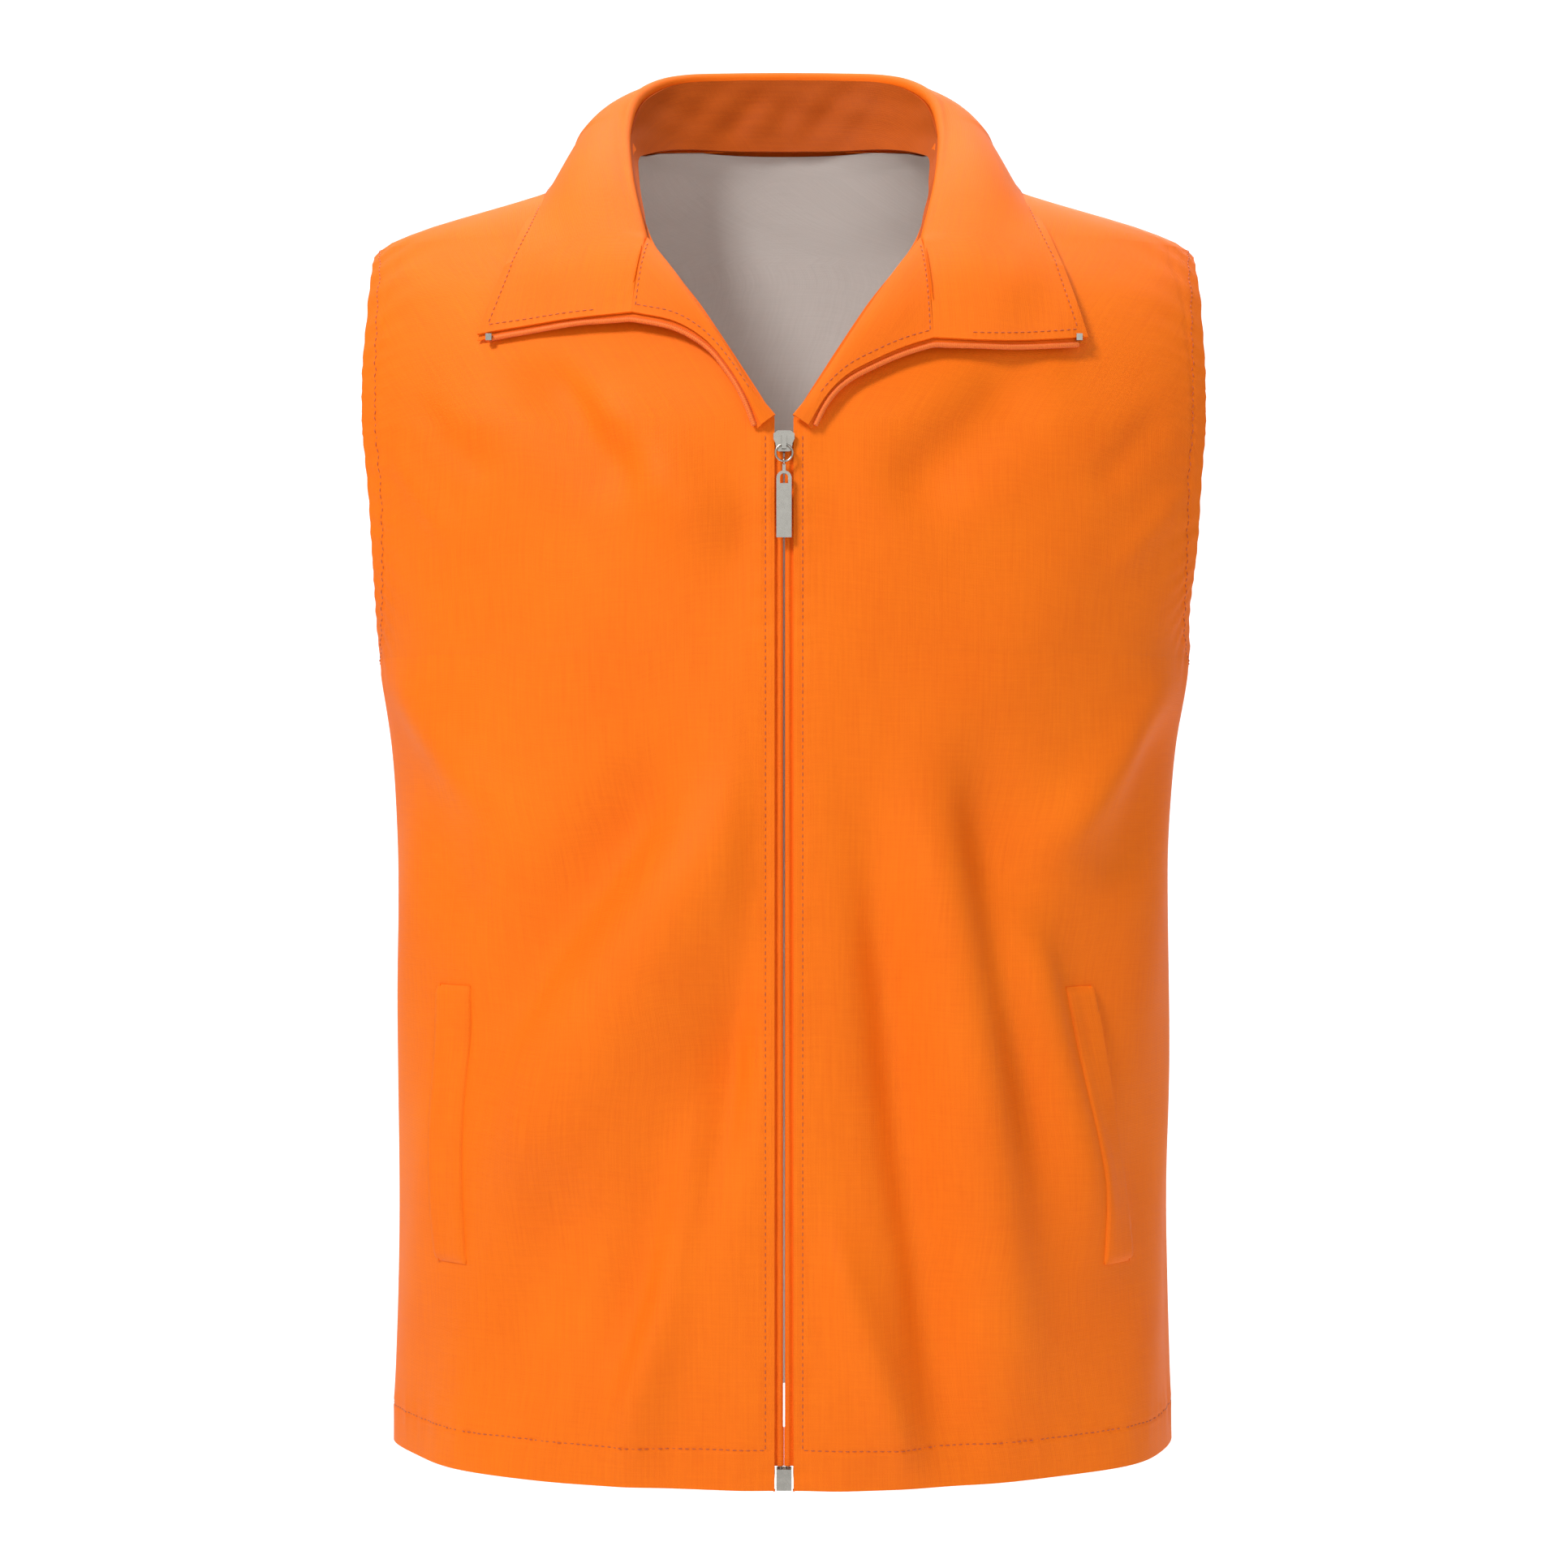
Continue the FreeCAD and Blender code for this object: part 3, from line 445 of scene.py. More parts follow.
def spline_through(points, count):
    """A smooth curve through given points (Catmull-Rom), evenly sampled by its length."""
    points = np.asarray(points, float)
    ends = np.vstack([2 * points[0] - points[1], points, 2 * points[-1] - points[-2]])
    dense = []
    for i in range(1, len(ends) - 2):
        a, b, c, d = ends[i - 1:i + 3]
        t = np.linspace(0, 1, 40, endpoint=False)[:, None]
        dense.append(0.5 * ((2 * b) + (c - a) * t + (2 * a - 5 * b + 4 * c - d) * t ** 2
                            + (3 * b - a - 3 * c + d) * t ** 3))
    dense = np.vstack(dense + [points[-1:]])
    return at_lengths(dense, np.linspace(0, arc_lengths(dense, 0)[-1], count))


# ---------------------------------------------------------------- materials


RELIEF_HEIGHT = 0.0002


def new_material(name):
    material = bpy.data.materials.new(name)
    material.use_nodes = True
    tree = material.node_tree
    return material, tree.nodes, tree.links, tree.nodes["Principled BSDF"]


def colour_between(nodes, links, shader, tone, shade, colour, ends=(0.0, 1.0)):
    """Base colour that runs from shade to colour as the tone runs between the ends."""
    ramp = nodes.new("ShaderNodeValToRGB")
    for element, value, position in zip(ramp.color_ramp.elements, (shade, colour), ends):
        element.position = position
        element.color = (*value, 1)
    links.new(tone, ramp.inputs["Fac"])
    links.new(ramp.outputs["Color"], shader.inputs["Base Color"])


def add_relief(nodes, links, shader, height, strength):
    relief = nodes.new("ShaderNodeBump")
    relief.inputs["Strength"].default_value = strength
    relief.inputs["Distance"].default_value = RELIEF_HEIGHT
    links.new(height, relief.inputs["Height"])
    links.new(relief.outputs["Normal"], shader.inputs["Normal"])


def cloth_material(name, colour, shade, thread_pitch, rough, bump):
    """Plain-woven cloth: crossing threads, uneven yarns and a slow change of tone."""
    material, nodes, links, shader = new_material(name)
    shader.inputs["Sheen Weight"].default_value = 0.05
    shader.inputs["Sheen Roughness"].default_value = 0.45
    shader.inputs["Sheen Tint"].default_value = (*colour, 1)
    shader.inputs["Specular IOR Level"].default_value = 0.16
    coordinates = nodes.new("ShaderNodeUVMap")
    coordinates.uv_map = "cloth"

    def waves(direction):
        wave = nodes.new("ShaderNodeTexWave")
        wave.bands_direction = direction
        wave.inputs["Scale"].default_value = 0.314 / thread_pitch
        wave.inputs["Distortion"].default_value = 0.6
        wave.inputs["Detail"].default_value = 1
        links.new(coordinates.outputs["UV"], wave.inputs["Vector"])
        return wave.outputs["Fac"]

    def noise(scale_x, scale_y, detail):
        stretch = nodes.new("ShaderNodeMapping")
        stretch.inputs["Scale"].default_value = (scale_x, scale_y, 1)
        links.new(coordinates.outputs["UV"], stretch.inputs["Vector"])
        texture = nodes.new("ShaderNodeTexNoise")
        texture.inputs["Scale"].default_value = 1
        texture.inputs["Detail"].default_value = detail
        links.new(stretch.outputs["Vector"], texture.inputs["Vector"])
        return texture.outputs["Fac"]

    def combine(kind, first, second):
        node = nodes.new("ShaderNodeMath")
        node.operation = kind
        for socket, value in zip(node.inputs, (first, second)):
            if isinstance(value, (int, float)):
                socket.default_value = value
            else:
                links.new(value, socket)
        return node.outputs[0]

    def weighted(first, first_share, second, second_share):
        shares = combine("MULTIPLY", first, first_share), combine("MULTIPLY", second, second_share)
        return combine("ADD", *shares)

    weave = combine("MULTIPLY", waves("X"), waves("Y"))
    yarns = weighted(noise(700, 30, 2), 0.6, noise(40, 900, 2), 0.4)
    cloud = noise(9, 9, 3)
    colour_between(nodes, links, shader, weighted(yarns, 0.5, cloud, 0.5), shade, colour, (0.30, 0.70))
    links.new(combine("ADD", combine("MULTIPLY", yarns, 0.16), rough - 0.08), shader.inputs["Roughness"])
    add_relief(nodes, links, shader, combine("ADD", weave, combine("MULTIPLY", yarns, 1.4)), bump)
    return material


def metal_material():
    """Bright nickel plate with fine scratches and duller worn patches."""
    material, nodes, links, shader = new_material("nickel")
    shader.inputs["Metallic"].default_value = 1.0
    where = nodes.new("ShaderNodeTexCoord")
    texture = nodes.new("ShaderNodeTexNoise")
    texture.inputs["Scale"].default_value = 420
    texture.inputs["Detail"].default_value = 4
    links.new(where.outputs["Object"], texture.inputs["Vector"])
    rough = nodes.new("ShaderNodeMapRange")
    rough.inputs["To Min"].default_value = 0.20
    rough.inputs["To Max"].default_value = 0.34
    links.new(texture.outputs["Fac"], rough.inputs["Value"])
    links.new(rough.outputs["Result"], shader.inputs["Roughness"])
    patches = texture.outputs["Fac"]
    colour_between(nodes, links, shader, patches, (0.36, 0.345, 0.31), (0.55, 0.53, 0.48))
    add_relief(nodes, links, shader, patches, 0.12)
    return material


def thread_material(name, colour):
    """Twisted sewing thread: a tight diagonal twist in its colour."""
    material, nodes, links, shader = new_material(name)
    shader.inputs["Roughness"].default_value = 0.55
    shader.inputs["Sheen Weight"].default_value = 0.2
    where = nodes.new("ShaderNodeTexCoord")
    twist = nodes.new("ShaderNodeTexWave")
    twist.bands_direction = "DIAGONAL"
    twist.inputs["Scale"].default_value = 700
    links.new(where.outputs["Object"], twist.inputs["Vector"])
    shade = (colour[0] * 0.8, colour[1] * 0.75, colour[2] * 0.7)
    colour_between(nodes, links, shader, twist.outputs["Fac"], shade, colour)
    return material


ORANGE = cloth_material("orange_cloth", (1.0, 0.205, 0.005), (0.90, 0.150, 0.003), 0.0008, 0.58, 0.45)
COLLAR = cloth_material("collar_cloth", (0.99, 0.200, 0.005), (0.88, 0.148, 0.003), 0.0008, 0.60, 0.45)
# The inner collar is the same cloth as the collar, made darker: painted shade for the shadow that falls
# inside the collar.
INNER_COLLAR_PAINTED_SHADE = cloth_material(
    "inner_collar_cloth_painted_shade", (0.58, 0.105, 0.006), (0.46, 0.075, 0.004), 0.0008, 0.64, 0.45)
LINING = cloth_material("grey_lining", (0.70, 0.655, 0.615), (0.60, 0.555, 0.515), 0.0007, 0.55, 0.30)
TAPE = cloth_material("zip_tape", (0.98, 0.190, 0.006), (0.84, 0.135, 0.004), 0.0011, 0.60, 0.60)
COIL = thread_material("zip_coil", (0.95, 0.180, 0.006))
THREAD = thread_material("thread", (0.62, 0.105, 0.008))
NICKEL = metal_material()

# ---------------------------------------------------------------- fronts, back and linings

FRONT_COLUMNS = 84
BACK_COLUMNS = 150
ROW_PITCH = 0.0042
SHELL_THICKNESS = 0.0009
SEAM_ANGLE = 0.05
LINING_THICKNESS = 0.0006
LINING_DEPTH = -0.0046
FACING_DEPTH = -0.0034
FACING_WIDTH = 0.030
ARMHOLE_STRIP = 0.016
NECK_HALF = 0.081
BACK_NECK_RISE = 0.013


def row_heights(top):
    """Rows up the garment, closer together where the armhole's edge runs level."""
    even = np.concatenate([np.arange(0, 0.030, 0.0011), np.arange(0.030, top, ROW_PITCH)])
    round_hole = ARMHOLE_MIDDLE - ARMHOLE_HALF * np.cos(np.radians(np.arange(0, 181, 3)))
    rows = np.unique(np.round(np.concatenate([even, round_hole, [top]]), 5))
    rows = rows[rows <= top]
    wide = np.concatenate([[True], np.diff(rows) > 0.0002])
    return rows[wide]


def front_far(rows, margin=0.0):
    return np.minimum(angle_at_y(rows, -armhole_y(rows, margin)), 90.0)


TURNED_LIFTS = np.array([FACING_DEPTH, -0.0014])
EDGE_CROWDING = 0.72


def turned_grid(rows, near, far, columns, side=1):
    """Cloth between two edges, whose side and hem edges turn in to meet the lining."""
    share = np.linspace(0, 1, columns)
    share = share - EDGE_CROWDING * np.sin(2 * math.pi * share) / (2 * math.pi)
    share = np.concatenate([[0, 0], share, [1, 1]])
    column_lift = np.concatenate([TURNED_LIFTS, np.zeros(columns), TURNED_LIFTS[::-1]])
    rows = np.concatenate([rows[:1], rows[:1], rows])
    near = np.concatenate([near[:1], near[:1], near])
    far = np.concatenate([far[:1], far[:1], far])
    row_lift = np.concatenate([TURNED_LIFTS, np.zeros(len(rows) - 2)])
    angles = near[:, None] + (far - near)[:, None] * share
    heights = np.repeat(rows[:, None], len(share), axis=1)
    lifts = np.minimum(column_lift[None, :], row_lift[:, None])
    return cloth(angles, heights, lifts, side)


def make_front(side_name, side):
    rows = row_heights(NECK_POINT)
    near = angle_at_x(rows, opening_x(rows))
    points = turned_grid(rows, near, front_far(rows) - SEAM_ANGLE, FRONT_COLUMNS, side)
    made = sheet_object(side_name + "_front_panel", points, ORANGE, SHELL_THICKNESS)
    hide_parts(side_name + "_front_shell")


def make_back():
    rows = row_heights(NECK_POINT)
    near = np.maximum(angle_at_y(rows, armhole_y(rows)), 90.0) + SEAM_ANGLE
    neck_rows = NECK_POINT + (BACK_TOP - NECK_POINT) * np.linspace(0, 1, 9)[1:]
    rise = (neck_rows - NECK_POINT) / BACK_NECK_RISE
    near_neck = 180 - angle_at_x(neck_rows, NECK_HALF * np.sqrt(1 - rise ** 2))
    rows = np.concatenate([rows, neck_rows])
    near = np.concatenate([near, near_neck])
    points = turned_grid(rows, near, 360 - near, BACK_COLUMNS)
    made = sheet_object("back_panel", points, ORANGE, SHELL_THICKNESS)
    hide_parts("back_shell")


def cloth_between(rows, start, end, columns, lift, side=1):
    """A grid of cloth points that runs from one angle to another on each row."""
    angles = start[:, None] + (end - start)[:, None] * np.linspace(0, 1, columns)
    return cloth(angles, np.repeat(rows[:, None], columns, axis=1), lift, side)


def make_front_linings():
    rows = row_heights(NECK_POINT - 0.003)
    for side_name, side in SIDES.items():
        edge = np.maximum(opening_x(rows) + 0.0006, 0.0068)
        near = angle_at_x(rows, edge)
        far = front_far(rows, ARMHOLE_STRIP)
        split = np.minimum(angle_at_x(rows, edge + FACING_WIDTH), far - 0.2)
        for node, start, end, material, slot, columns, flat, area in (
                ("front_facing", near, split, ORANGE, "orange_cloth", 12, (0.034, 0.70), 0.0225),
                ("front_lining", split, far, LINING, "grey_lining", 60, (0.22, 0.70), 0.130)):
            points = cloth_between(rows, start, end, columns, LINING_DEPTH, side)
            made = sheet_object(f"{side_name}_{node}_cloth", points, material, LINING_THICKNESS)
            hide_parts(f"{side_name}_{node}")


def make_back_lining():
    neck_rows = NECK_POINT + np.array([0.003, 0.006, 0.0085, 0.0105])
    rows = np.concatenate([row_heights(NECK_POINT), neck_rows])
    near = np.maximum(angle_at_y(rows, armhole_y(rows, ARMHOLE_STRIP)), 90.0)
    rise = (rows - NECK_POINT) / BACK_NECK_RISE
    neck_x = NECK_HALF * np.sqrt(np.clip(1 - rise * rise, 0, 1))
    near = np.where(rows > NECK_POINT, 180 - angle_at_x(rows, neck_x), near)
    points = cloth_between(rows, near, 360 - near, 110, LINING_DEPTH)
    made = sheet_object("back_lining_cloth", points, LINING, LINING_THICKNESS)
    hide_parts("back_lining")


def make_armhole_facings():
    """The orange strip inside each armhole, from the edge inward."""
    turns = np.radians(np.linspace(0, 360, 181))
    for side_name, side in SIDES.items():
        columns = []
        for grow in np.linspace(0, ARMHOLE_STRIP, 6):
            up = np.where(np.cos(turns) < 0, 0.35, 1.0)
            heights = ARMHOLE_MIDDLE - (ARMHOLE_HALF + grow * up) * np.cos(turns)
            y = -(ARMHOLE_HALF_DEPTH + grow) * np.sin(turns)
            columns.append(cloth(angle_at_y(heights, y), heights, FACING_DEPTH, side))
        points = np.stack(columns, axis=1)
        made = sheet_object(
            side_name + "_armhole_strip", points, ORANGE, 0.0008)
        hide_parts(side_name + "_armhole_facing")


make_back()
for name, sign in SIDES.items():
    make_front(name, sign)
make_front_linings()
make_back_lining()
make_armhole_facings()

# ---------------------------------------------------------------- pockets

WELT_FOOT = low("left_pocket_welt", "z")
WELT_HEAD = high("left_pocket_welt", "z")
WELT_WIDTH = 0.017
WELT_CENTRES = {"left": (0.170, 0.1535), "right": (0.1705, 0.1705)}
# Across a welt from its sewn edge to its free edge: share of the width, height off the cloth.
WELT_PROFILE = [(0.00, -0.0003), (0.03, 0.0009), (0.10, 0.0017), (0.30, 0.0019), (0.60, 0.0021),
                (0.88, 0.0030), (0.97, 0.0029), (1.00, 0.0020), (0.97, 0.0014), (0.90, 0.0011)]
BAG_WIDTH = 0.095
BAG_DEPTH = -0.0022


def make_pocket(side_name, side):
    """The welt that covers a pocket's mouth, and the bag behind it."""
    share = np.linspace(0, 1, 60)
    heights = WELT_FOOT + (WELT_HEAD - WELT_FOOT) * share
    foot_x, head_x = WELT_CENTRES[side_name]
    centre = foot_x + (head_x - foot_x) * share + 0.0012 * np.sin(math.pi * share)
    columns = []
    end_press = smoothstep(0, 0.025, share) * (1 - smoothstep(0.975, 1, share))
    for across, lift in WELT_PROFILE:
        x = centre + (across - 0.5) * WELT_WIDTH
        sag = 1 + 0.25 * np.sin(math.pi * share) * across + 0.10 * np.sin(9 * share)
        pressed = 0.0006 + (lift * sag - 0.0006) * end_press
        columns.append(cloth(angle_at_x(heights, x), heights, pressed, side))
    points = np.stack(columns, axis=1)
    made = sheet_object(side_name + "_welt_strip", points, ORANGE, 0.0007)
    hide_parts(side_name + "_pocket_welt")

    bag_x = high("left_pocket_bag", "x")
    rows = np.linspace(low("left_pocket_bag", "z"), high("left_pocket_bag", "z"), 50)
    start, end = angle_at_x(rows, bag_x - BAG_WIDTH), angle_at_x(rows, np.full(len(rows), bag_x))
    points = cloth_between(rows, start, end, 30, BAG_DEPTH, side)
    made = sheet_object(side_name + "_pocket_cloth", points, LINING, LINING_THICKNESS)
    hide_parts(side_name + "_pocket_bag")


for name, sign in SIDES.items():
    make_pocket(name, sign)

# ---------------------------------------------------------------- collar and lapels

# Lines of the wearer's left half, from the middle of the back round to the front: x, y, z.
FOLD_LINE = np.array([
    (0.000, 0.0660, 0.7500), (0.030, 0.0630, 0.7490), (0.054, 0.0540, 0.7460), (0.0695, 0.0390, 0.7390),
    (0.0800, 0.0160, 0.7250), (0.0830, -0.0090, 0.7030), (0.0808, -0.0360, 0.6800),
    (0.0762, -0.0620, 0.6550), (0.0690, -0.0840, 0.6285)])
FALL_EDGE = np.array([
    (0.000, 0.0900, 0.7040), (0.040, 0.0850, 0.7020), (0.074, 0.0720, 0.6970), (0.100, 0.0530, 0.6900),
    (0.1170, 0.0290, 0.6820), (0.1255, 0.0040, 0.6725), (0.1305, -0.0330, 0.6565),
    (0.1360, -0.0640, 0.6380), (0.1425, -0.0827, 0.6170)])
STAND_BASE = np.array([
    (0.000, 0.0650, 0.7050), (0.030, 0.0610, 0.7045), (0.050, 0.0500, 0.7030), (0.0650, 0.0330, 0.6990),
    (0.0750, 0.0100, 0.6920), (0.0785, -0.0120, 0.6850), (0.0775, -0.0360, 0.6720),
    (0.0740, -0.0600, 0.6510), (0.0684, -0.0825, 0.6275)])
# Points seen from the front, as x, height and how far they stand off the chest.
ROLL_LINE = [(0.0690, 0.6285, 0.0050), (0.0560, 0.6100, 0.0055), (0.0405, 0.5860, 0.0055),
             (0.0275, 0.5650, 0.0050), (0.0150, 0.5460, 0.0045), (0.0042, 0.5325, 0.0040)]
LEAF_SIDE = {
    "left": [(0.1425, 0.6170, 0.0075), (0.1480, 0.5980, 0.0060), (0.1540, 0.5765, 0.0055)],
    "right": [(0.1425, 0.6170, 0.0075), (0.1485, 0.5990, 0.0060), (0.1556, 0.5780, 0.0055)]}
LEAF_FOOT = {
    "left": [(0.0745, 0.5730, 0.0085), (0.1080, 0.5725, 0.0080), (0.1360, 0.5745, 0.0065),
             (0.1540, 0.5765, 0.0055)],
    "right": [(0.0765, 0.5868, 0.0085), (0.1085, 0.5840, 0.0080), (0.1340, 0.5808, 0.0065),
              (0.1556, 0.5780, 0.0055)]}
ZIP_EDGE = {
    "left": [(0.0745, 0.5730, 0.0085), (0.0600, 0.5680, 0.0085), (0.0460, 0.5615, 0.0085),
             (0.0320, 0.5535, 0.0080), (0.0215, 0.5430, 0.0070), (0.0120, 0.5275, 0.0045)],
    "right": [(0.0765, 0.5868, 0.0085), (0.0553, 0.5815, 0.0090), (0.0400, 0.5720, 0.0085),
              (0.0285, 0.5585, 0.0080), (0.0190, 0.5430, 0.0065), (0.0115, 0.5275, 0.0045)]}
ROLL_RADIUS = 0.0034
LEAF_THICKNESS = 0.0014
CHEST_GAP = 0.0030
ARC_COLUMNS = 9
LEAF_COLUMNS = 30
FALL_ROWS = 74
SPLIT_ROW = 34
SEAM_ROWS = 26
LAPEL_ROWS = 56
EDGE_STITCH = 0.0045
COIL_RADIUS = 0.0011
COIL_PITCH = 0.0011


def on_front(points):
    return np.array([over_front(x, z, standoff) for x, z, standoff in points])


def outward_of(line, edge):
    """The way out of cloth that lies between a line and an edge, away from the neck."""
    normal = unit(np.cross(np.gradient(line, axis=0), edge - line))
    middle_of_neck = np.array([0, -0.010, 0.600])
    flip = np.sum(normal * (line - middle_of_neck), axis=-1) < 0
    return np.where(flip[:, None], -normal, normal)


def with_neighbours(values):
    """Each inner value counted twice, with the values on both sides of it."""
    return values[:-2] + 2 * values[1:-1] + values[2:]


def rolled(line, edge, radius, belly):
    """Rows of cloth that roll over a fold line and then lie out to an edge."""
    normal = outward_of(line, edge)
    out = unit(edge - line)
    for _ in range(10):
        normal[1:-1] = unit(with_neighbours(normal))
        out[1:-1] = unit(with_neighbours(out))
    radius = np.broadcast_to(radius, len(line))[:, None, None]
    belly = np.broadcast_to(belly, len(line))[:, None, None]
    turn = np.radians(np.linspace(0, 180, ARC_COLUMNS))[None, :, None]
    centre = line[:, None] + out[:, None] * radius
    arc = centre - normal[:, None] * radius * np.cos(turn) - out[:, None] * radius * np.sin(turn)
    start = arc[:, -1:]
    share = np.linspace(0, 1, LEAF_COLUMNS + 1)[None, 1:, None]
    flat = start + (edge[:, None] - start) * share
    flat = flat + normal[:, None] * belly * np.sin(math.pi * share ** 0.8)
    return np.concatenate([arc, flat], axis=1)


def clear_of_front(points, clearance):
    """Keep cloth that lies over the chest in front of it."""
    x, z = points[..., 0], points[..., 2]
    half = smooth_curve(LEVELS, z)[..., 0]
    y = form(angle_at_x(z, np.abs(x)), z)[..., 1] - clearance
    over_chest = (1 - smoothstep(0.600, 0.660, z)) * (np.abs(x) < 0.93 * half)
    points[..., 1] += np.minimum(y - points[..., 1], 0) * over_chest
    return points


def ripple(points, size):
    """Gentle unevenness of collar cloth, away from its fold."""
    x, y, z = points[..., 0], points[..., 1], points[..., 2]
    wave = np.sin(78 * x + 41 * z) * np.sin(63 * z - 52 * y + 0.7) + 0.5 * np.sin(140 * x - 97 * z)
    fade = np.linspace(0, 1, points.shape[1])[None, :]
    points[..., 1] -= size * wave * smoothstep(0.25, 0.7, fade)
    return points


def both_halves(half):
    """Rows from the wearer's right end, over the middle of the back, to the left end."""
    return np.concatenate([(half * np.array([-1, 1, 1]))[:0:-1], half])


def bend_with_lapel(made):
    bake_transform(made)


def inside_edge(points, distance):
    """For each row of a grid, the column at a distance from the row's last point."""
    length = arc_lengths(points, 1)
    columns = np.arange(points.shape[1], dtype=float)
    return np.array([np.interp(row[-1] - distance, row, columns) for row in length])


def surface_runs(points, lines):
    """Stitch runs on a grid of cloth, each given as rows and columns of the grid."""
    across = np.gradient(points, axis=1)
    along = np.gradient(points, axis=0)
    normal = unit(np.cross(along, across))
    if np.sum(normal * (points - np.array([0, 0.0, 0.55]))) < 0:
        normal = -normal
    runs = []
    for rows, columns in lines:
        low_row = np.floor(rows).astype(int)
        low_column = np.floor(columns).astype(int)
        high_row = np.minimum(low_row + 1, points.shape[0] - 1)
        high_column = np.minimum(low_column + 1, points.shape[1] - 1)
        u, v = (rows - low_row)[:, None], (columns - low_column)[:, None]
        path = (points[low_row, low_column] * (1 - u) * (1 - v) + points[high_row, low_column] * u * (1 - v)
                + points[low_row, high_column] * (1 - u) * v + points[high_row, high_column] * u * v)
        runs.append((path, normal[low_row, low_column]))
    return runs


def collar_half():
    fold = spline_through(FOLD_LINE, FALL_ROWS)
    edge = spline_through(FALL_EDGE, FALL_ROWS)
    station = np.linspace(0, 1, FALL_ROWS)
    belly = 0.0085 + 0.0035 * np.sin(math.pi * station)
    belly = belly * (1 - 0.55 * smoothstep(0.75, 1, station))
    both_belly = np.concatenate([belly[:0:-1], belly])
    grid = rolled(both_halves(fold), both_halves(edge), ROLL_RADIUS, both_belly)
    return grid[FALL_ROWS - 1:]


def make_fall(half):
    """The outside of the collar round the back and sides of the neck."""
    points = both_halves(half[:SPLIT_ROW + 1])
    made = sheet_object("collar_fall_cloth", points, COLLAR, LEAF_THICKNESS)
    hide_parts("collar_fall")
    lines = [(np.arange(len(points), dtype=float), inside_edge(points, EDGE_STITCH))]
    stitches("collar_fall_stitches", surface_runs(points, lines))


def make_stand():
    """The inside of the collar, from its fold down to the neck seam."""
    fold = spline_through(FOLD_LINE, FALL_ROWS)
    edge = spline_through(FALL_EDGE, FALL_ROWS)
    base = spline_through(STAND_BASE, FALL_ROWS)
    normal = outward_of(fold, edge)
    top = fold + unit(edge - fold) * ROLL_RADIUS - normal * (ROLL_RADIUS + 0.0002)
    share = np.linspace(0, 1, 22)[None, :, None]
    half = top[:, None] + (base[:, None] - top[:, None]) * share
    fade = smoothstep(1.0, 0.6, np.linspace(0, 1, FALL_ROWS))[:, None, None]
    half = half + normal[:, None] * 0.0020 * np.sin(math.pi * share) * fade
    points = both_halves(half)
    x, z = points[..., 0], points[..., 2]
    crumple = 0.0011 * np.sin(120 * x + 60 * z) * np.sin(210 * z - 30 * x + 1.1)
    crumple += 0.0007 * np.sin(260 * x - 180 * z)
    points[..., 1] += crumple * np.sin(math.pi * share[..., 0])
    # Its darker cloth is painted shade for the inside of the collar, not a different cloth.
    made = sheet_object("collar_stand_cloth", points, INNER_COLLAR_PAINTED_SHADE, 0.0012)
    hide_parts("collar_stand")


def lapel_grid(side_name):
    """The top of a front, turned out from its roll line to its zip edge."""
    roll = spline_through(on_front(ROLL_LINE), LAPEL_ROWS)
    edge = spline_through(on_front(ZIP_EDGE[side_name]), LAPEL_ROWS)
    station = np.linspace(0, 1, LAPEL_ROWS)
    radius = ROLL_RADIUS * (1 - 0.70 * station)
    belly = 0.0035 * (1 - station) + 0.0004
    return ripple(clear_of_front(rolled(roll, edge, radius, belly), CHEST_GAP), 0.0006)


def ease_rows(points, rounds):
    """Soften the change from row to row, and leave the outer edge and the seam where they are."""
    eased = points.copy()
    columns = np.arange(points.shape[1]) / (points.shape[1] - 1)
    hold = smoothstep(0.0, 0.35, columns) * (1 - smoothstep(0.90, 1.0, columns))
    for _ in range(rounds):
        eased[1:-1] = with_neighbours(eased) / 4
    return points + (eased - points) * hold[None, :, None]


def leaf_grid(half, lapel, side_name):
    """The front of the collar, from the shoulder down to its seam with the lapel and its tip."""
    seam = lapel[0, ARC_COLUMNS - 1:]
    seam_line = at_lengths(seam, np.linspace(0, arc_lengths(seam, 0)[-1], SEAM_ROWS))[1:]
    side_edge = spline_through(on_front(LEAF_SIDE[side_name]), SEAM_ROWS)[1:]
    fall = half[SPLIT_ROW:]
    share = np.linspace(0, 1, SEAM_ROWS)[1:]
    belly = 0.0040 * (1 - share) + 0.0010
    radius = ROLL_RADIUS * np.exp(-share * 14) + 0.0003
    part = rolled(seam_line, side_edge, radius, belly)
    foot = spline_through(on_front(LEAF_FOOT[side_name]), part.shape[1])
    pull = smoothstep(0.55, 1.0, share)[:, None, None]
    part = part + (foot[None] - part[-1:]) * pull ** 2
    points = clear_of_front(np.concatenate([fall, part]), CHEST_GAP)
    points[5:-2] = ease_rows(points, 60)[5:-2]
    return ripple(points, 0.0007)


def outer_edge_path(leaf, lapel):
    """The zip edge of a lapel and its collar leaf, from the slider out to the tip."""
    inner = lapel[::-1, -1]
    inner_out = unit(inner - lapel[::-1, -3])
    outer = leaf[-1, ARC_COLUMNS + 1:]
    outer_out = unit(outer - leaf[-3, ARC_COLUMNS + 1:])
    path = np.concatenate([inner, outer])
    out = np.concatenate([inner_out, outer_out])
    even = np.linspace(0, arc_lengths(path, 0)[-1], 240)
    out = unit(at_lengths(path, even, out))
    path = at_lengths(path, even)
    for _ in range(12):
        out[1:-1] = unit(with_neighbours(out))
        path[1:-1] = with_neighbours(path) / 4
    normal = unit(np.cross(np.gradient(path, axis=0), out))
    normal = np.where((normal[:, 1] > 0)[:, None], -normal, normal)
    return path, out, normal


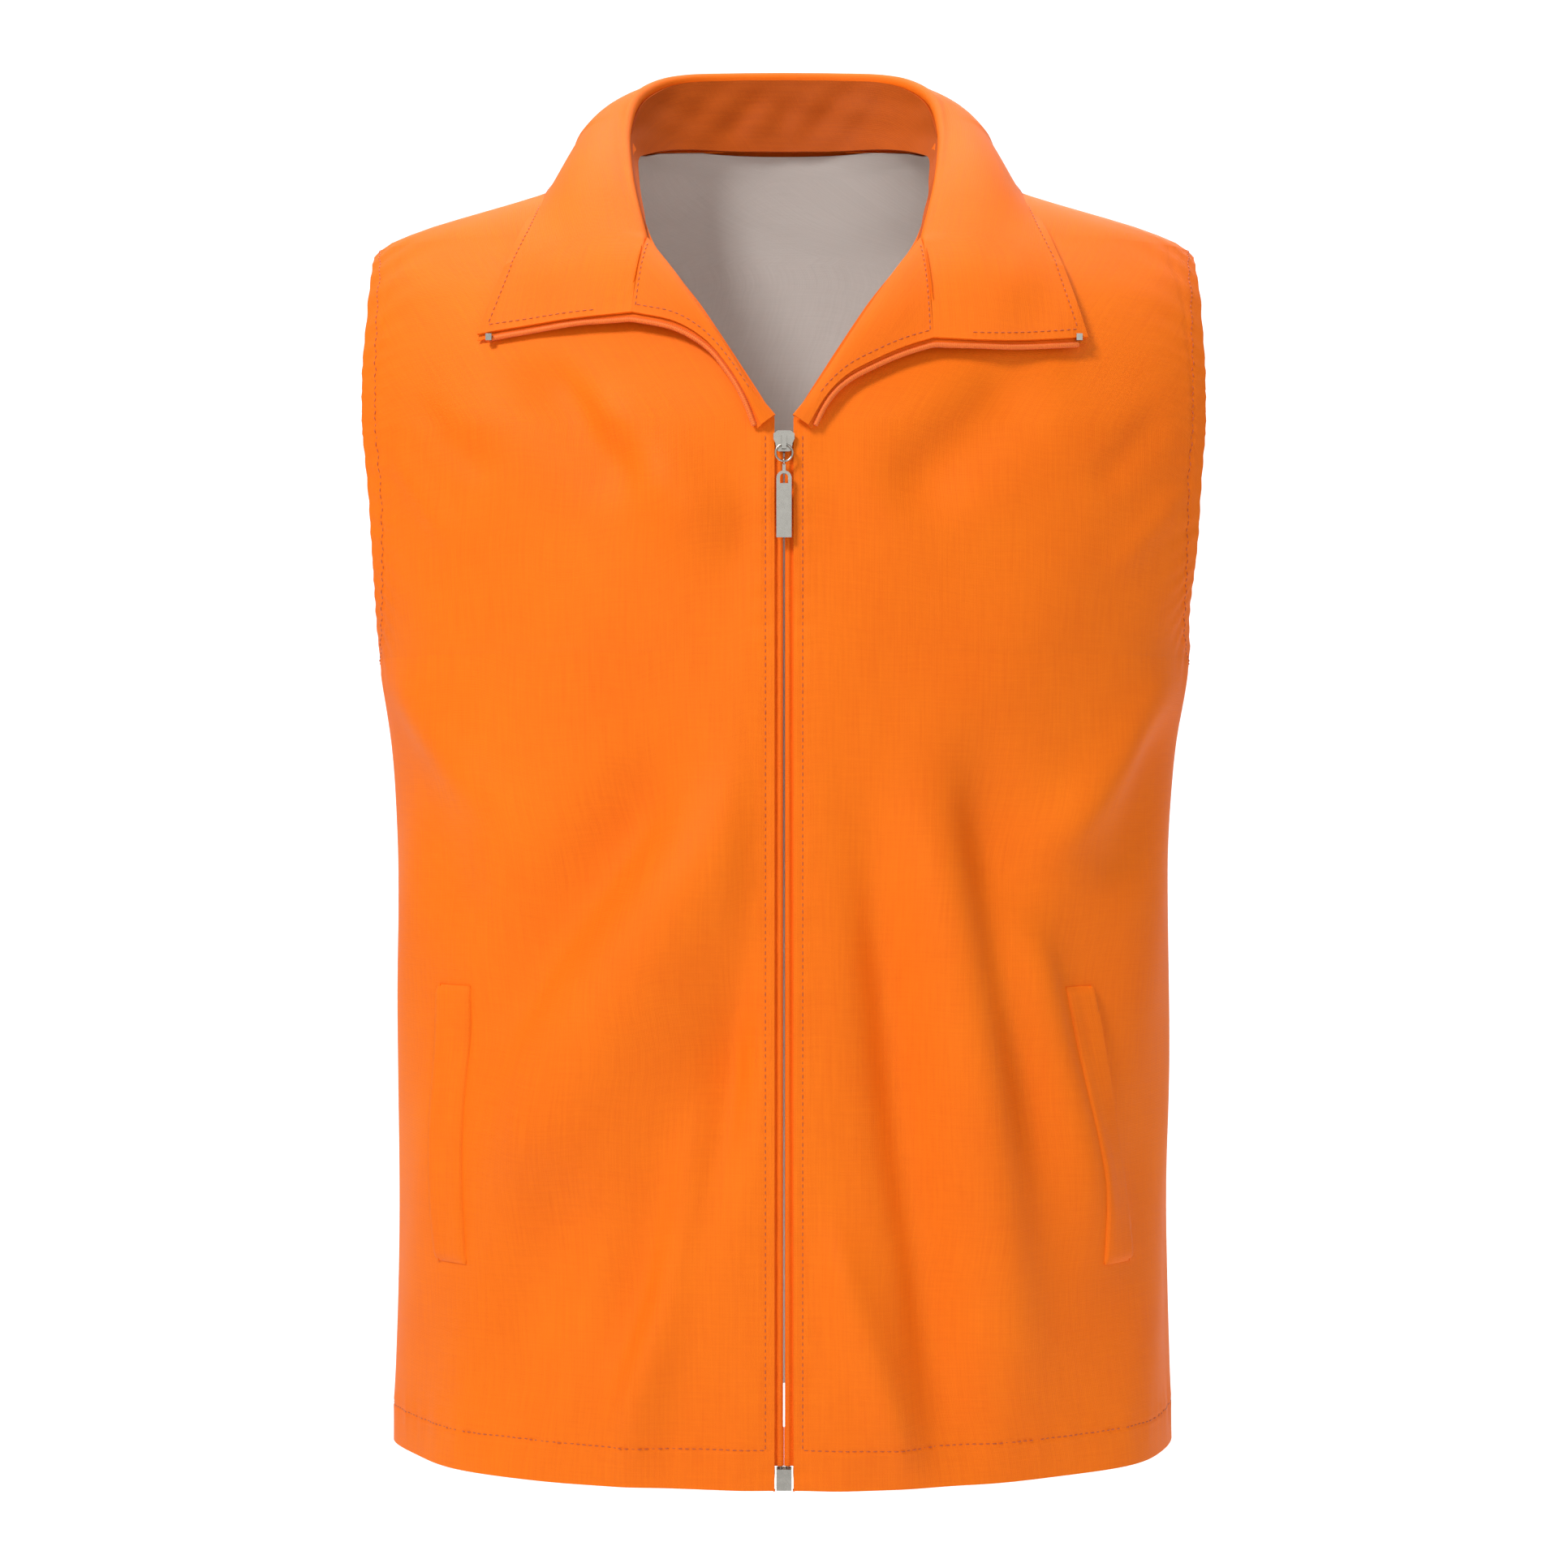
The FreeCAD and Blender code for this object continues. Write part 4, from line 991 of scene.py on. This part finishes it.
def make_lapel_zip(path, out, normal, side_name, side):
    """The turned-out half of the zip: a strip of tape with a coil along its free edge."""
    offsets = [-0.0060, -0.0020, 0.0006, 0.0016, 0.0026]
    points = np.stack([path + out * step - normal * (0.0016 + 0.0002 * k)
                       for k, step in enumerate(offsets)], axis=1)
    points = points * np.array([side, 1, 1])
    tape = sheet_object(side_name + "_lapel_tape_cloth", points, TAPE, 0.0006, None)
    bend_with_lapel(tape)
    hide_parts(side_name + "_lapel_zip_tape")
    centre = (path + out * 0.0033 - normal * 0.0019) * np.array([side, 1, 1])
    length = arc_lengths(centre, 0)[-1]
    centre = at_lengths(centre, np.linspace(0.002, length - 0.006, int(length / 0.00028)))
    vertices, faces = ribbed_tube(centre, COIL_RADIUS, 10, COIL_PITCH, 0.00026)
    coil = new_object(side_name + "_lapel_coil_bead", vertices, faces, COIL, None)
    bend_with_lapel(coil)
    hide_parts(side_name + "_lapel_zip_coil")


def leaf_runs(points):
    """Stitching inside the leaf's side edge and inside its zip edge."""
    rows, columns = points.shape[:2]
    foot_rows = inside_edge(np.swapaxes(points, 0, 1), EDGE_STITCH)[ARC_COLUMNS + 1:columns - 2]
    side_columns = inside_edge(points, EDGE_STITCH)[:rows - 3]
    return surface_runs(points, [
        (np.arange(rows - 3, dtype=float), side_columns),
        (foot_rows, np.arange(ARC_COLUMNS + 1, columns - 2, dtype=float))])


def lapel_runs(points):
    """Stitching inside the lapel's zip edge and beside its seam."""
    rows, columns = points.shape[:2]
    count = rows - 10
    seam = columns - ARC_COLUMNS - 2
    return surface_runs(points, [
        (np.arange(1.0, 1.0 + count), inside_edge(points, EDGE_STITCH)[1:1 + count]),
        (np.full(seam, 1.0), np.arange(ARC_COLUMNS, ARC_COLUMNS + seam, dtype=float))])


half_collar = collar_half()
make_fall(half_collar)
make_stand()
for name, sign in SIDES.items():
    lapel_points = lapel_grid(name)
    leaf_points = leaf_grid(half_collar, lapel_points, name)
    make_lapel_zip(*outer_edge_path(leaf_points, lapel_points), name, sign)
    flip_side = np.array([sign, 1, 1])
    for piece, grid, node, flat, area in (
            ("lapel_cloth", lapel_points, "lapel", (0.045, 0.130), 0.0027),
            ("leaf_cloth", leaf_points, "collar_leaf", (0.105, 0.165), 0.0140)):
        cloth_piece = sheet_object(
            f"{name}_{piece}", grid * flip_side, COLLAR, LEAF_THICKNESS, None)
        bend_with_lapel(cloth_piece)
        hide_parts(f"{name}_{node}")
    runs = leaf_runs(leaf_points) + lapel_runs(lapel_points)
    sewn = stitches(name + "_lapel_stitches", [(p * flip_side, n * flip_side) for p, n in runs], None)
    bend_with_lapel(sewn)

# ---------------------------------------------------------------- the closed zip

TAPE_FRONT = low("left_zip_tape", "y")
TAPE_FOOT = low("left_zip_tape", "z")
TAPE_EDGE = high("left_zip_tape", "x")
POST_FOOT = low("left_zip_coil", "z") + 0.008
RIB_HEIGHT = 0.00016
RIBBED_WIDTH = 0.0033
SLOT_EDGE = 0.0006
SLOT_CLOSED = 0.1
COIL_CENTRE_X = middle("left_zip_coil", "x")
COIL_CENTRE_Y = middle("left_zip_coil", "y")
# Across a tape from the centre outwards: x and how far it stands in front of its flat part.
TAPE_PROFILE = [(0.00046, -0.0014), (0.00052, -0.0003), (0.0008, 0.0004), (0.0014, 0.0008),
                (0.0021, 0.0009), (0.0028, 0.0007), (0.0034, 0.0002), (0.0042, 0.0000),
                (0.0070, 0.0000), (0.0105, 0.0000)]


def make_closed_zip(side_name, side):
    """One side of the zip below the slider: a tape rolled at its edge, and a ribbed coil."""
    rows = np.arange(TAPE_FOOT, ZIP_TOP - 0.006, COIL_PITCH / 4)
    columns = []
    for x, front in TAPE_PROFILE + [(TAPE_EDGE, 0.0)]:
        rib = RIB_HEIGHT * np.abs(np.sin(math.pi * rows / COIL_PITCH)) * (x < RIBBED_WIDTH)
        # the tapes meet below the lowest place that the slider's post reaches
        across = np.where((rows < POST_FOOT) & (x < SLOT_EDGE), x * SLOT_CLOSED, x)
        columns.append(np.stack([across * side, TAPE_FRONT - front - rib, rows], axis=-1))
    tape = sheet_object(
        side_name + "_tape_strip", np.stack(columns, axis=1), TAPE, 0.0005)
    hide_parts(side_name + "_zip_tape")
    heights = np.arange(low("left_zip_coil", "z"), high("left_zip_coil", "z"), COIL_PITCH / 3)
    centre = np.stack([np.full(len(heights), COIL_CENTRE_X * side),
                       np.full(len(heights), COIL_CENTRE_Y), heights], axis=-1)
    vertices, faces = ribbed_tube(centre, COIL_RADIUS - 0.0002, 8, COIL_PITCH, 0.0002)
    coil = new_object(side_name + "_coil_bead", vertices, faces, COIL)
    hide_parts(side_name + "_zip_coil")


for name, sign in SIDES.items():
    make_closed_zip(name, sign)

# The metal keeps its CAD shape, with its sharp edges softened.
HARDWARE = ("retainer_box", "box_pin", "insertion_pin", "slider_body", "pull_ring", "pull_tab",
            "left_top_stop", "right_top_stop")
for node in HARDWARE:
    piece = bpy.data.objects[node]
    piece.data.materials.clear()
    piece.data.materials.append(NICKEL)
    softened = piece.modifiers.new("softened_edges", "BEVEL")
    softened.width = 0.00025
    softened.segments = 2
    softened.limit_method = "ANGLE"
    softened.angle_limit = math.radians(40)

# ---------------------------------------------------------------- stitching on the shell


SEAM_GAP = 0.5


def cloth_run(angles, heights, side):
    """A line of stitching on the cloth, and the way out of the cloth along it."""
    path = cloth(angles, heights, 0.0, side)
    return path, cloth(angles, heights, 0.001, side) - path


def make_shell_stitches():
    hem_runs = []
    near = float(angle_at_x(HEM_BAND, PLACKET + STITCH_FROM_PLACKET))
    spans = [(near, 90 - SEAM_GAP, 400, side) for side in SIDES.values()]
    spans.append((90 + SEAM_GAP, 270 - SEAM_GAP, 700, 1))
    for start, end, count, side in spans:
        hem_runs.append(cloth_run(np.linspace(start, end, count), np.full(count, HEM_BAND), side))
    stitches("hem_stitches", hem_runs)
    for side_name, side in SIDES.items():
        turns = np.radians(np.linspace(3, 177, 400))
        runs = []
        for way in (-1, 1):
            band = ARMHOLE_BAND * np.where(np.cos(turns) < 0, 0.3, 1)
            heights = ARMHOLE_MIDDLE - (ARMHOLE_HALF + band) * np.cos(turns)
            y = way * (ARMHOLE_HALF_DEPTH + ARMHOLE_BAND) * np.sin(turns)
            runs.append(cloth_run(angle_at_y(heights, y), heights, side))
        stitches(side_name + "_armhole_stitches", runs)
        heights = np.linspace(HEM_BAND, ZIP_TOP - 0.004, 900)
        angles = angle_at_x(heights, np.full(900, PLACKET + STITCH_FROM_PLACKET))
        stitches(side_name + "_placket_stitches", [cloth_run(angles, heights, side)])


make_shell_stitches()

# ---------------------------------------------------------------- camera, floor and light


def place(name, data, location=(0, 0, 0)):
    made = bpy.data.objects.new(name, data)
    made.location = location
    bpy.context.collection.objects.link(made)
    return made


CAMERA_HEIGHT = 0.350
CAMERA_DISTANCE = 1.600


def make_camera():
    data = bpy.data.cameras.new("camera")
    data.lens = 68
    data.sensor_width = 36
    made = place("camera", data, (0, -CAMERA_DISTANCE, CAMERA_HEIGHT))
    made.rotation_euler = (math.radians(90), 0, 0)
    bpy.context.scene.camera = made


FLOOR = -0.42
WALL = 3.6
WALL_TOP = 7.0
SWEEP_RADIUS = 1.6
FLOOR_REACH = 9.0


def make_floor():
    """A pale floor that sweeps up into a wall behind the vest."""
    turns = np.radians(np.linspace(0, 90, 25))
    profile = [(-FLOOR_REACH, FLOOR)]
    profile += [(WALL - SWEEP_RADIUS * (1 - math.sin(t)), FLOOR + SWEEP_RADIUS * (1 - math.cos(t)))
                for t in turns]
    profile.append((WALL, WALL_TOP))
    vertices = [(x, y, z) for y, z in profile for x in (-FLOOR_REACH, FLOOR_REACH)]
    faces = [(2 * k, 2 * k + 1, 2 * k + 3, 2 * k + 2) for k in range(len(profile) - 1)]
    mesh = bpy.data.meshes.new("floor")
    mesh.from_pydata(vertices, [], faces)
    mesh.polygons.foreach_set("use_smooth", [True] * len(faces))
    floor = place("floor", mesh)
    material, _, _, shader = new_material("pale_floor")
    shader.inputs["Base Color"].default_value = (0.92, 0.92, 0.92, 1)
    shader.inputs["Roughness"].default_value = 0.9
    mesh.materials.append(material)


def area_light(name, location, target, size, power):
    data = bpy.data.lights.new(name, "AREA")
    data.size = size
    data.energy = power
    made = place(name, data, location)
    way = Vector(target) - Vector(location)
    made.rotation_euler = way.to_track_quat("-Z", "Y").to_euler()


def make_light():
    world = bpy.data.worlds.new("studio")
    world.use_nodes = True
    background = world.node_tree.nodes["Background"]
    background.inputs["Color"].default_value = (1, 1, 1, 1)
    background.inputs["Strength"].default_value = 0.33
    bpy.context.scene.world = world
    bpy.context.scene.view_settings.view_transform = "Standard"
    chest = (0, 0, 0.40)
    area_light("key", (-1.2, -1.7, 2.1), chest, 0.6, 46)
    area_light("front", (0.2, -2.6, 1.0), chest, 1.4, 5)
    area_light("fill", (1.9, -1.5, 0.8), chest, 1.2, 3.5)
    area_light("back", (0.5, 2.2, 1.8), chest, 1.4, 9)
    area_light("wall", (0, 1.2, 3.4), (0, WALL, 0.2), 3.0, 125)


make_camera()
make_floor()
make_light()
